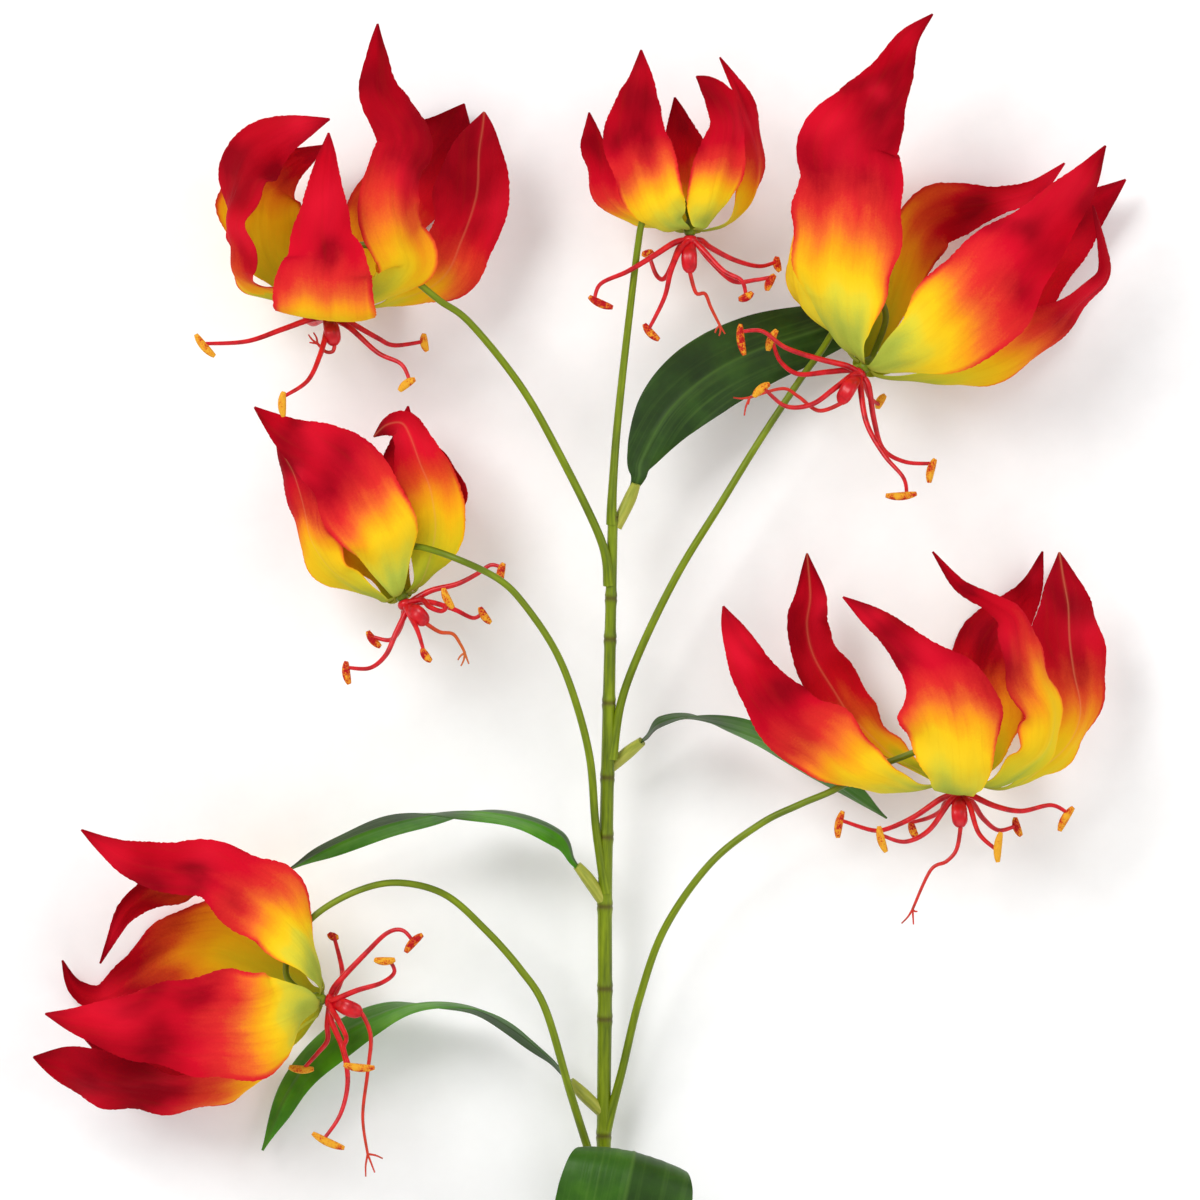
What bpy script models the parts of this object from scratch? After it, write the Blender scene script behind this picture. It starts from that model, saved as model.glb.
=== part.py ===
"""Glory lily spray: one cut, branched stem with six blooms and five leaves, lying on a surface.

Metres, +Z up. The spray is laid out as it is seen from straight above. Places in that plan are given in plan
pixels, of which there are 1200 along each side of the view, with y running down, and heights in millimetres
above the surface. Each bloom nods: its six petals bend back from the hub, round the flower stem, and its six
stamens and its pistil stand out on the other side, along the bloom's axis.
"""

import math
from collections import namedtuple

import bpy
import numpy as np

MM = 0.001
PLAN_PIXEL = 0.4 * MM  # real size of one plan pixel
PLAN_ORIGIN = (583.0, 720.0)  # the plan pixel over the middle of the spray

BLADE_THICKNESS = 0.8 * MM
LEAF_THICKNESS = 0.9 * MM
LEAF_CUP = 0.12
CLEARANCE = 0.35 * MM  # gap between two pieces that touch

# The bloom's middle: the green hub on the flower stem, with the claws of the petals set round it.
HUB_RADIUS = 2.5 * MM
HUB_LENGTH = 4.0 * MM
CLAW_HALF_WIDTHS = (1.15, 2.6)  # in millimetres, at the hub and where the claw has left it
CLAW_BACK = 2.0 * MM  # how far behind the hub's face the claws stand
CLAW_REACH = 7.0 * MM  # where a claw has left the hub, straight out

FILAMENT_RADIUS = 1.2 * MM
FILAMENT_TIP_RADIUS = 0.8 * MM
ANTHER_RADIUS = 1.5 * MM
OVARY_RADIUS = 3.1 * MM
STYLE_RADIUS = 0.9 * MM
STIGMA_RADIUS = 0.55 * MM

PETAL_ROWS = 11
LEAF_ROWS = 12
COLUMNS = 5
# Half width of a leaf at even steps from its sheath to its tip, as a share of its greatest.
LEAF_OUTLINE = (0.12, 0.55, 0.86, 1.0, 0.98, 0.88, 0.7, 0.45, 0.04)
RESTING_RISE = 5 * MM  # a blade whose rib comes this low rests on the surface
SIDE_TURN = 0.2  # share of a petal's length over which it turns from the hub's sector to its own roll
# How far a petal stands out from the bloom's axis at even steps from its base to its tip, as a share of its reach.
PETAL_REACH = (0.0, 0.58, 0.9, 1.0, 0.94, 0.78)

Petal = namedtuple("Petal", "name azimuth reach stations lift cup", defaults=(0.0, 0.18))
Stamen = namedtuple("Stamen", "rise path anther")
Pistil = namedtuple("Pistil", "rise ovary style stigma")
Bloom = namedtuple("Bloom", "hub axis petals stamens pistil")
Leaf = namedtuple("Leaf", "name half_width sheath stations side", defaults=(None,))

# Azimuth turns about the bloom's axis: 90 faces up from the surface, 270 down to it. Reach and lift are millimetres.
# Each station along a petal's rib is its plan place, the blade's half width in millimetres and its roll about the
# rib in degrees: 0 shows the petal's outer face from above, 90 its edge, 180 its inner face.
BLOOMS = {
    1: Bloom(
        hub=(328, 312, 50),
        axis=(-0.05, -1.0, 0.05),
        petals=(
            Petal("front", 96, 46, (
                (326, 325, 12, 0), (327, 319, 19.3, 0), (327, 300, 19.8, 0), (326, 282, 18.8, 0),
                (328, 261, 15.8, 0), (326, 240, 12.4, 0), (327, 218, 10.2, 0), (327, 195, 7.6, 0),
                (330, 160, 3.8, 0), (331, 137, 0.4, 0))),
            Petal("left", 150, 42, (
                (285, 301, 8, -60), (252, 292, 10.5, -62), (237, 273, 12.5, -70), (238, 247, 14, -70),
                (233, 220, 13, -70), (238, 192, 14, -55), (246, 168, 13.5, -30), (266, 148, 11, -5),
                (296, 132, 6.5, 0), (331, 121, 0.4, 0))),
            Petal("left_back", 215, 42, (
                (283, 290, 8, -125), (264, 262, 13, -140), (257, 215, 19, -155), (264, 180, 15, -155),
                (290, 160, 8, -150), (325, 143, 0.4, -150))),
            Petal("right_front", 45, 42, (
                (365, 303, 6, 45), (410, 272, 14, 40), (402, 240, 14.5, 35), (394, 208, 14, 35), (401, 170, 14, 35),
                (406, 139, 11, 20), (382, 99, 8.6, 0), (378, 60, 4.5, 0), (379, 27, 0.4, 0))),
            Petal("right", 350, 40, (
                (385, 306, 6, 85), (440, 278, 13, 32), (464, 240, 15, 30), (474, 200, 16.5, 25),
                (477, 160, 13, 20), (482, 130, 6.5, 20), (484, 111, 0.4, 20))),
            Petal("back", 285, 51.8, (
                (348, 285, 8, 170), (362, 250, 12, 175), (388, 205, 16.5, 180), (415, 165, 16, 180),
                (445, 130, 12, 180), (463, 99, 0.4, 180))),
        ),
        stamens=(
            Stamen(12, ((309, 320), (282, 330), (247, 342), (208, 342)), ((197, 335), (216, 357))),
            Stamen(28, ((327, 331), (321, 356), (309, 382), (291, 398)), ((286, 393), (286, 418))),
            Stamen(14, ((350, 328), (378, 353), (402, 365), (409, 381)), ((416, 380), (400, 392))),
            Stamen(-6, ((345, 320), (376, 337), (394, 345), (424, 341)), ((424, 333), (427, 351))),
            Stamen(-26, ((320, 320), (312, 323), (304, 318), (302, 308)), ((308, 300), (296, 314))),
            Stamen(-28, ((336, 320), (344, 323), (352, 318), (354, 308)), ((347, 300), (360, 313))),
        ),
        pistil=Pistil(
            8, ((331, 322), (335, 346)), ((333, 352), (326, 352), (318, 344)),
            ((309, 335), (310, 343), (314, 333))),
    ),
    2: Bloom(
        hub=(690, 235, 48),
        axis=(0.0, -1.0, 0.1),
        petals=(
            Petal("front_left", 112, 25, (
                (670, 224, 7, -15), (656, 205, 12, -10), (645, 172, 12.8, 0), (636, 142, 13, 0),
                (637, 105, 9, 0), (641, 80, 5, 0), (641, 52, 0.4, 0))),
            Petal("left", 182, 28, (
                (655, 228, 5, -85), (622, 212, 8.5, -62), (603, 190, 9.5, -55), (596, 165, 9, -50),
                (591, 140, 6, -45), (589, 112, 0.4, -40))),
            Petal("back", 287, 22, (
                (690, 217, 5, 175), (688, 185, 9, 180), (685, 150, 9, 180), (680, 120, 5, 180), (675, 95, 0.4, 180))),
            Petal("right_front", 50, 25, (
                (703, 222, 5.5, 38), (710, 203, 9.5, 30), (717, 180, 11, 20), (724, 150, 9, 15), (727, 125, 7, 10),
                (718, 100, 6, 0), (706, 85, 3.5, 0), (696, 78, 0.4, 0))),
            Petal("right", 342, 28, (
                (728, 224, 6, 90), (748, 200, 9, 70), (756, 165, 9.5, 62), (754, 130, 8, 60),
                (744, 95, 5, 50), (720, 56, 0.4, 40))),
            Petal("left_back", 233, 26, (
                (668, 222, 4, -138), (645, 195, 9, -145), (628, 160, 9, -150), (625, 125, 6, -150),
                (632, 85, 0.4, -150))),
        ),
        stamens=(
            Stamen(10, ((674, 243), (652, 257), (627, 272), (601, 284), (596, 296)), ((589, 297), (613, 308))),
            Stamen(-14, ((679, 248), (672, 265), (664, 278), (656, 273), (649, 253)), ((642, 252), (653, 249))),
            Stamen(20, ((680, 250), (671, 271), (664, 299), (651, 328)), ((644, 325), (659, 341))),
            Stamen(14, ((703, 250), (723, 271), (741, 281), (745, 295)), ((738, 300), (752, 293))),
            Stamen(4, ((699, 246), (711, 261), (733, 281), (756, 280), (773, 274)), ((775, 275), (767, 291))),
            Stamen(-16, ((701, 240), (711, 247), (735, 259), (760, 265), (772, 261)), ((778, 255), (781, 270))),
        ),
        pistil=Pistil(
            4, ((689, 246), (690, 273)), ((696, 293), (705, 294), (711, 308), (720, 326)),
            ((719, 336), (725, 334), (715, 333))),
    ),
    3: Bloom(
        hub=(862, 370, 48),
        axis=(-0.6, -0.76, 0.2),
        petals=(
            Petal("upper", 125, 36, (
                (848, 338, 9, -15), (841, 300, 17, -15), (842, 260, 21, -5), (846, 220, 22, 0),
                (848, 180, 20.5, 0), (850, 144, 20, 0), (870, 112, 15, 0), (886, 84, 10, 0), (907, 42, 4.5, 0),
                (931, 17, 0.4, 0))),
            Petal("upper_back", 193, 34, (
                (836, 335, 4.5, -85), (804, 305, 13, -78), (792, 268, 14.5, -78), (797, 230, 13, -85),
                (818, 188, 10, -95), (850, 140, 0.4, -105))),
            Petal("middle_back", 246, 38, (
                (888, 318, 6, -150), (905, 270, 9.5, -160), (927, 222, 12.5, -170), (962, 205, 11, -180),
                (1000, 198, 6, -180), (1038, 186, 4, -180), (1068, 160, 0.4, -180))),
            Petal("front", 62, 34, (
                (893, 362, 8, 25), (926, 348, 16, 15), (955, 324, 20.5, 8), (985, 292, 20.5, 0),
                (1012, 260, 17, 0), (1045, 225, 11.5, 0), (1075, 190, 7.5, 0), (1103, 148, 0.4, 0))),
            Petal("right_back", 300, 46, (
                (925, 350, 8, 150), (975, 325, 14, 160), (1020, 285, 16, 170), (1055, 245, 14, 175),
                (1090, 210, 9, 180), (1130, 176, 0.4, 180))),
            Petal("lower_right", 0, 36, (
                (905, 380, 6, 85), (955, 376, 12, 60), (1000, 362, 13, 50), (1045, 332, 12, 50), (1078, 304, 9, 60),
                (1105, 278, 5, 60), (1103, 245, 3, 50), (1093, 205, 0.4, 40))),
        ),
        stamens=(
            Stamen(16, ((847, 366), (818, 359), (785, 348), (762, 332), (746, 332)), ((740, 325), (744, 356))),
            Stamen(4, ((848, 370), (827, 372), (798, 374), (780, 361), (775, 342)), ((777, 330), (768, 351))),
            Stamen(22, ((853, 375), (834, 389), (811, 405), (785, 407), (767, 394)), ((769, 385), (753, 398))),
            Stamen(24, ((860, 384), (866, 423), (883, 455), (902, 478), (905, 493)), ((884, 496), (915, 494))),
            Stamen(6, ((868, 384), (874, 420), (883, 449), (905, 462), (931, 463)), ((935, 459), (929, 483))),
            Stamen(-18, ((865, 383), (871, 397), (879, 403)), ((887, 394), (879, 408))),
        ),
        pistil=Pistil(
            10, ((855, 378), (840, 404)), ((818, 411), (798, 397), (782, 389), (749, 398)),
            ((733, 398), (748, 405), (744, 416))),
    ),
    4: Bloom(
        hub=(403, 600, 47),
        axis=(0.38, -0.9, 0.2),
        petals=(
            Petal("front", 100, 29, (
                (392, 572, 7.5, 0), (384, 540, 14.5, 0), (366, 507, 17, 0), (347, 475, 15.5, 0), (320, 452, 12.5, 0),
                (288, 434, 7, 0), (256, 408, 0.4, 0))),
            Petal("left", 172, 30, (
                (375, 597, 7, -75), (335, 578, 12, -60), (314, 545, 13, -55), (306, 510, 12, -55),
                (292, 475, 10, -50), (276, 438, 0.4, -50))),
            Petal("left_back", 232, 28, (
                (380, 580, 5, -142), (350, 548, 10.5, -150), (340, 505, 13, -155), (348, 470, 9, -155),
                (361, 446, 0.4, -155))),
            Petal("right_front", 25, 28, (
                (424, 575, 5, 25), (435, 535, 12, 0), (433, 495, 11.8, 15), (421, 465, 10.8, 0), (411, 438, 7.4, 0),
                (402, 424, 6, 0), (386, 425, 4.2, 0), (373, 436, 0.4, 0)), -20),
            Petal("back", 283, 26, (
                (400, 565, 4.5, 160), (402, 520, 10, 165), (400, 480, 11, 175), (404, 440, 6, 180), (407, 405, 0.4, 180))),
            Petal("right_back", 334, 28, (
                (422, 572, 5, 115), (445, 535, 11, 120), (450, 495, 11, 125), (440, 462, 8, 130), (420, 438, 0.4, 140))),
        ),
        stamens=(
            Stamen(6, ((430, 591), (457, 584), (477, 574), (491, 565), (502, 568)), ((504, 563), (501, 583))),
            Stamen(18, ((422, 600), (430, 607), (442, 611), (448, 605), (447, 596)), ((444, 588), (454, 608))),
            Stamen(0, ((428, 602), (453, 609), (473, 618), (485, 611)), ((480, 607), (491, 623))),
            Stamen(16, ((410, 615), (418, 631), (422, 647)), ((423, 648), (432, 661))),
            Stamen(-10, ((404, 609), (400, 627), (390, 640), (374, 635)), ((367, 631), (380, 647))),
            Stamen(12, ((406, 611), (396, 633), (386, 655), (370, 668), (351, 667)), ((347, 661), (350, 684))),
        ),
        pistil=Pistil(
            6, ((412, 607), (427, 624)), ((440, 632), (453, 634), (461, 645), (465, 653)),
            ((461, 666), (469, 664), (458, 660))),
    ),
    5: Bloom(
        hub=(958, 790, 48),
        axis=(0.0, -1.0, 0.05),
        petals=(
            Petal("left", 160, 42, (
                (908, 790, 8, -60), (862, 772, 12.5, -35), (818, 742, 16.5, -22), (785, 717, 13.5, -15),
                (760, 685, 10, -10), (742, 650, 7, 0), (730, 625, 4, 0), (723, 606, 0.4, 0))),
            Petal("left_back", 215, 38, (
                (915, 768, 5.5, -125), (880, 748, 11, -135), (852, 722, 13, -150), (834, 690, 12.5, -160),
                (815, 655, 9.5, -165), (808, 625, 8.5, -170), (811, 595, 6.5, -175), (808, 553, 0.4, -180))),
            Petal("front", 95, 42, (
                (958, 794, 9, 0), (956, 772, 13.5, 0), (953, 740, 18, 0), (947, 712, 20.5, 0),
                (938, 688, 17.5, 0), (921, 664, 10.5, 0), (899, 641, 7, 0), (870, 617, 4.5, 0),
                (841, 597, 0.4, 0))),
            Petal("right_front", 44, 38, (
                (998, 784, 5.5, 45), (1035, 755, 12, 50), (1045, 715, 12.5, 50), (1034, 685, 13, 45),
                (1019, 650, 10.5, 40), (1010, 618, 7, 30), (988, 602, 4, 20), (958, 585, 2.8, 10),
                (931, 552, 0.4, 0))),
            Petal("back", 285, 49.8, (
                (980, 765, 8, 170), (995, 718, 13, 175), (986, 672, 14, 180), (1002, 632, 12, 180),
                (1032, 595, 6, 180), (1047, 551, 0.4, 180))),
            Petal("right", 350, 40, (
                (1008, 789, 5.5, 90), (1055, 762, 12, 60), (1078, 715, 14, 45), (1077, 670, 16, 32),
                (1069, 625, 15, 25), (1065, 585, 8, 20), (1060, 552, 0.4, 20))),
        ),
        stamens=(
            Stamen(2, ((941, 799), (914, 817), (887, 829), (871, 830), (845, 821)), ((843, 811), (838, 838))),
            Stamen(20, ((949, 802), (928, 830), (904, 841), (885, 833)), ((878, 825), (885, 851))),
            Stamen(-24, ((946, 804), (942, 812), (930, 819), (915, 821)), ((913, 822), (920, 841))),
            Stamen(6, ((970, 795), (995, 806), (1021, 811), (1051, 805), (1067, 813)), ((1073, 807), (1059, 831))),
            Stamen(-14, ((972, 802), (984, 819), (1000, 831), (1016, 827)), ((1017, 818), (1023, 837))),
            Stamen(22, ((969, 805), (978, 833), (992, 850)), ((999, 831), (996, 861))),
        ),
        pistil=Pistil(
            8, ((958, 802), (960, 827)), ((956, 849), (946, 861), (930, 870), (912, 909)),
            ((901, 923), (913, 924), (917, 911))),
    ),
    6: Bloom(
        hub=(325, 1000, 48),
        axis=(0.98, -0.15, 0.1),
        petals=(
            Petal("top", 30, 40, (
                (316, 965, 9, 60), (300, 935, 14, 40), (280, 908, 17.5, 24), (247, 888, 15.5, 15),
                (213, 869, 12, 10), (176, 866, 10.5, 10), (137, 860, 8, 0), (108, 845, 4, 0), (83, 829, 0.4, 0))),
            Petal("front", 110, 40, (
                (303, 1006, 9, -10), (281, 1017, 18.5, 0), (250, 1022, 22, 0), (210, 1022, 20.5, 0),
                (165, 1022, 16.5, 0), (116, 1022, 11, 0), (80, 1017, 5.6, 0), (49, 1011, 0.4, 0))),
            Petal("top_back", 332, 38, (
                (308, 955, 5, 110), (265, 905, 12, 120), (215, 874, 12, 130), (165, 885, 10, 140),
                (125, 912, 5, 150), (98, 965, 0.4, 150))),
            Petal("back", 281, 49.3, (
                (306, 994, 4.8, 185), (266, 974, 14, 180), (215, 955, 20, 180), (170, 962, 16, 180),
                (130, 985, 10, 180), (95, 1003, 6, 180), (70, 992, 3.5, 180), (57, 964, 0.4, 180))),
            Petal("bottom", 178, 40, (
                (300, 1030, 5.5, -90), (269, 1065, 10.5, -72), (230, 1086, 11.5, -52), (187, 1096, 11, -42),
                (140, 1090, 12.5, -38), (95, 1078, 13, -30), (60, 1065, 7.5, -20), (33, 1057, 0.4, -10))),
            Petal("bottom_back", 230, 38, (
                (295, 1035, 5.5, -145), (240, 1066, 13, -160), (185, 1070, 14, -165), (132, 1060, 12, -170),
                (82, 1042, 0.4, -170))),
        ),
        stamens=(
            Stamen(8, ((336, 985), (366, 953), (387, 933), (403, 930), (414, 942)), ((423, 934), (406, 952))),
            Stamen(18, ((333, 1000), (357, 990), (382, 982), (395, 971), (390, 959)), ((375, 958), (396, 958))),
            Stamen(-22, ((339, 985), (341, 971), (328, 947)), ((327, 935), (337, 939))),
            Stamen(24, ((332, 1009), (339, 1020), (347, 1036), (345, 1046), (351, 1058)), ((345, 1062), (376, 1065))),
            Stamen(-8, ((327, 1025), (327, 1041), (317, 1054), (304, 1061)), ((288, 1068), (313, 1070))),
            Stamen(10, ((331, 1020), (343, 1049), (348, 1081), (341, 1113), (327, 1133)), ((313, 1132), (345, 1147))),
        ),
        pistil=Pistil(
            6, ((337, 1003), (362, 1013)), ((371, 1036), (368, 1071), (363, 1116), (368, 1154)),
            ((383, 1158), (375, 1172), (366, 1176))),
    ),
}

# The main stem from its cut end up to where the second bloom's stem leaves it: plan place, height, radius in mm.
MAIN_STEM = (
    (606, 1420, 4, 3.0),
    (604, 1200, 12, 2.9),
    (604, 1100, 16, 2.8),
    (605, 1000, 20, 2.9),
    (605, 900, 24, 2.9),
    (607, 800, 28, 2.7),
    (609, 700, 32, 2.5),
    (611, 600, 36, 2.2),
    (613, 513, 39, 2.0),
)
STEM_NODES = (1375, 1300, 1215, 1140, 1022, 991, 908, 838, 778, 703, 639, 598, 517)  # plan y of each ring
STEM_NODE_RISE = 0.45 * MM
STEM_NODE_HALF_LENGTH = 2.2 * MM

# Each flower stem from inside the main stem to the hub of its bloom, which is added last: plan place and height.
FLOWER_STEMS = {
    1: ((609, 585, 37), (601, 540, 41), (560, 455, 44), (520, 385, 47), (470, 323, 52), (440, 301, 54.2), (418, 283, 55.3), (388, 258, 54), (362, 245, 51), (336, 262, 49)),
    2: ((612, 524, 38.8), (612, 500, 40), (616, 440, 41), (622, 380, 43), (630, 310, 47), (638, 245, 52), (643, 220, 55), (656, 195, 55), (672, 190, 51), (684, 202, 48)),
    3: ((612, 760, 30), (622, 700, 33), (645, 640, 36), (680, 570, 39), (720, 505, 42), (760, 440, 43), (800, 380, 41), (822, 350, 36), (840, 322, 32), (862, 299, 35), (880, 300, 40), (886, 320, 45)),
    4: ((606, 895, 25), (596, 830, 30), (590, 760, 38), (575, 700, 46), (555, 650, 54), (525, 605, 62), (500, 580, 65), (460, 560, 67), (420, 547, 58.3), (402, 551, 54.5), (396, 566, 50)),
    5: ((606, 1135, 15), (622, 1075, 19), (640, 1000, 26), (665, 930, 32), (710, 865, 38), (760, 825, 40), (800, 805, 42), (833, 791, 43), (870, 771, 44.5), (900, 758, 46.5), (930, 749, 47.5), (952, 760, 48)),
    6: ((604, 1210, 12), (590, 1160, 20), (570, 1095, 28), (545, 1010, 36), (520, 970, 40), (485, 930, 44), (445, 895, 46), (400, 883, 47), (360, 890, 48), (318, 913, 46.3), (294, 942, 46.6), (286, 975, 47.5)),
}
FLOWER_STEM_RADIUS = 1.7 * MM
FLOWER_STEM_TIP_RADIUS = 1.25 * MM

# Each station along a leaf's rib, from its sheath to its tip, is its plan place, its height and its roll. The bottom
# leaf stands up and folds over, so its width runs along one given side instead.
LEAVES = (
    Leaf("leaf_top", 15.5, ((616, 527, 37), (629, 500, 37), (636, 483, 39)), (
        (642, 458, 39, 20), (668, 412, 37, 5), (707, 376, 33, 0), (755, 350, 28, 0), (805, 333, 22, 0),
        (860, 316, 16, 0), (906, 306, 12, 0))),
    Leaf("leaf_right", 12, ((611, 768, 25), (628, 753, 26.5), (642, 742, 30)), (
        (660, 724, 36, 105), (690, 718, 37, 95), (730, 728, 36, 78), (780, 748, 32, 68), (830, 778, 26, 66),
        (889, 820, 18, 60))),
    Leaf("leaf_left", 12.5, ((604, 905, 24), (589, 882, 27), (577, 867, 29)), (
        (560, 838, 33, 62), (520, 820, 36, 75), (465, 813, 37, 86), (404, 821, 34, 106), (345, 841, 27, 111),
        (282, 874, 18, 105))),
    Leaf("leaf_lower_left", 12, ((603, 1118, 15), (585, 1100, 18), (570, 1085, 20)), (
        (548, 1060, 23, 105), (510, 1030, 25, 106), (470, 1010, 27, 98), (425, 1006, 27, 88), (380, 1018, 24, 60),
        (330, 1046, 19, 36), (290, 1092, 13, 28), (259, 1156, 9, 0))),
    Leaf("leaf_bottom", 27, ((604, 1232, 12), (612, 1215, 18), (618, 1203, 24)), (
        (628, 1172, 38, 0), (634, 1152, 54, 0), (630, 1172, 67, 0), (616, 1235, 64, 0), (600, 1300, 42, 0),
        (577, 1360, 14, 0), (562, 1396, 0.2, 0)), (1.0, -0.25, 0.0)),
)
SHEATH_RADII = (2.3, 2.6, 1.9)

COLOURS = {
    "petal": (0.78, 0.03, 0.02, 1.0),
    "stamen": (0.75, 0.02, 0.03, 1.0),
    "stem": (0.27, 0.42, 0.03, 1.0),
    "sheath": (0.50, 0.52, 0.12, 1.0),
    "leaf": (0.06, 0.22, 0.03, 1.0),
}


def place(x, y, rise):
    """The point seen at plan pixel x, y, at that height in millimetres above the surface."""
    return np.array(((x - PLAN_ORIGIN[0]) * PLAN_PIXEL, (PLAN_ORIGIN[1] - y) * PLAN_PIXEL, rise * MM))


def unit(vector):
    return vector / np.linalg.norm(vector)


def spaced(values, count):
    """Values at even steps, read at count even steps with smooth passages between them."""
    values = np.asarray(values, float)
    where = np.linspace(0, len(values) - 1, count)
    first = np.minimum(where.astype(int), len(values) - 2)
    share = where - first
    ends = [np.clip(first + k, 0, len(values) - 1) for k in (-1, 0, 1, 2)]
    before, start, stop, after = (values[k] for k in ends)
    if values.ndim > 1:
        share = share[:, None]
    return 0.5 * (
        2 * start
        + (stop - before) * share
        + (2 * before - 5 * start + 4 * stop - after) * share**2
        + (3 * start - before - 3 * stop + after) * share**3
    )


def route(stations, count):
    """Count stations at even distances along a smooth curve; any values after x, y and z are carried along."""
    fine = spaced(stations, 40 * len(stations))
    run = np.concatenate([[0], np.cumsum(np.linalg.norm(np.diff(fine[:, :3], axis=0), axis=1))])
    wanted = np.linspace(0, run[-1], count)
    return np.stack([np.interp(wanted, run, column) for column in fine.T], axis=1)


def directions(points):
    """Unit tangents of a row of points."""
    return np.array([unit(t) for t in np.gradient(points, axis=0)])


def material(kind):
    """The plain finish of one kind of piece."""
    made = bpy.data.materials.get(kind)
    if made is None:
        made = bpy.data.materials.new(kind)
        made.use_nodes = True
        shader = made.node_tree.nodes["Principled BSDF"]
        shader.inputs["Base Color"].default_value = COLOURS[kind]
        shader.inputs["Roughness"].default_value = 0.55
        shader.inputs["Metallic"].default_value = 0.0
    return made


def mesh_object(name, points, faces, kind):
    """A new object with this mesh and the finish of its kind."""
    mesh = bpy.data.meshes.new(name)
    mesh.from_pydata([tuple(p) for p in points], [], faces)
    mesh.update()
    mesh.shade_smooth()
    mesh.materials.append(material(kind))
    made = bpy.data.objects.new(name, mesh)
    bpy.context.scene.collection.objects.link(made)
    return made


def sides_of(along, rolls, heading, first_side):
    """The direction of a blade's width in each row, given its tangents and its rolls in radians.

    Roll 0 lies level, with the outer face up. A petal starts with its width along first_side, in its own sector of
    the bloom, and soon turns to its roll. With no heading the width runs along first_side throughout.
    """
    sides = []
    for share, forward, roll in zip(np.linspace(0, 1, len(along)), along, rolls):
        side = first_side
        if heading is not None:
            ahead = np.array((forward[0], forward[1], 0)) + 0.6 * heading
            level = np.cross((0, 0, 1), ahead)
            level = unit(level - np.dot(level, forward) * forward)
            side = math.cos(roll) * level + math.sin(roll) * np.cross(forward, level)
            if first_side is not None:
                turned = min(share / SIDE_TURN, 1)
                side = unit(turned * side + (1 - turned) * first_side)
        sides.append(unit(side - np.dot(side, forward) * forward))
    return sides


def blade(name, kind, stations, heading, first_side, cup, thickness):
    """A closed curved blade. Each station is x, y, z, half width in metres and roll in degrees.

    Both faces are split into the same triangles, so that they never cross.
    """
    rows = len(stations)
    along = directions(stations[:, :3])
    sides = sides_of(along, np.radians(stations[:, 4]), heading, first_side)
    across = np.linspace(-1, 1, COLUMNS)
    sheet = np.empty((rows, COLUMNS, 3))
    for i in range(rows):
        inward = np.cross(sides[i], along[i])
        half_width = max(stations[i, 3], 0.4 * MM)
        for j, u in enumerate(across):
            sheet[i, j] = stations[i, :3] + half_width * (u * sides[i] + cup * u * u * inward)
    lengthways = np.gradient(sheet, axis=0)
    sideways = np.gradient(sheet, axis=1)
    normals = np.cross(sideways, lengthways)
    normals /= np.linalg.norm(normals, axis=2, keepdims=True)
    points = np.concatenate([sheet + normals * thickness / 2, sheet - normals * thickness / 2]).reshape(-1, 3)
    return mesh_object(name, points, blade_faces(rows, COLUMNS), kind)


def blade_faces(rows, columns):
    """Triangles of a blade whose first rows x columns points are its inner face and the next its outer face."""
    under = rows * columns
    faces = []
    for i in range(rows - 1):
        for j in range(columns - 1):
            a, b = i * columns + j, i * columns + j + 1
            c, d = a + columns, b + columns
            faces += [(a, b, d), (a, d, c), (a + under, d + under, b + under), (a + under, c + under, d + under)]
    rim = [j for j in range(columns)]
    rim += [i * columns + columns - 1 for i in range(1, rows)]
    rim += [(rows - 1) * columns + j for j in range(columns - 2, -1, -1)]
    rim += [i * columns for i in range(rows - 2, 0, -1)]
    for a, b in zip(rim, rim[1:] + rim[:1]):
        faces += [(b, a, a + under), (b, a + under, b + under)]
    return faces


def tube(name, kind, points, radii, sides):
    """A closed tube round a row of points, with a radius at each."""
    points = np.asarray(points, float)
    along = directions(points)
    level = unit(np.cross(along[0], (0.3, 0.2, 0.93)))
    corners = []
    for point, forward, radius in zip(points, along, radii):
        level = unit(level - np.dot(level, forward) * forward)
        upright = np.cross(forward, level)
        for k in range(sides):
            turn = 2 * math.pi * k / sides
            corners.append(point + radius * (math.cos(turn) * level + math.sin(turn) * upright))
    faces = []
    for i in range(len(points) - 1):
        for k in range(sides):
            a, b = i * sides + k, i * sides + (k + 1) % sides
            faces += [(a, b, b + sides), (a, b + sides, a + sides)]
    last = (len(points) - 1) * sides
    faces += [(0, k + 1, k) for k in range(1, sides - 1)]
    faces += [(last, last + k, last + k + 1) for k in range(1, sides - 1)]
    return mesh_object(name, corners, faces, kind)


def joined(name, kind, pieces):
    """One solid made of overlapping pieces, which are then removed."""
    first, rest = pieces[0], pieces[1:]
    group = bpy.data.collections.new(name + "_pieces")
    for piece in rest:
        group.objects.link(piece)
    union = first.modifiers.new("union", "BOOLEAN")
    union.operation = "UNION"
    union.operand_type = "COLLECTION"
    union.collection = group
    union.solver = "EXACT"
    graph = bpy.context.evaluated_depsgraph_get()
    mesh = bpy.data.meshes.new_from_object(first.evaluated_get(graph))
    made = bpy.data.objects.new(name, mesh)
    bpy.context.scene.collection.objects.link(made)
    mesh.materials.clear()
    mesh.materials.append(material(kind))
    for piece in pieces:
        bpy.data.objects.remove(piece)
    bpy.data.collections.remove(group)
    return made


def cut_clear(piece, cutter):
    """Cuts a piece back from a fatter copy of the piece that it grows from."""
    cut = piece.modifiers.new("seat", "BOOLEAN")
    cut.operation = "DIFFERENCE"
    cut.object = cutter
    cut.solver = "EXACT"


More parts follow.
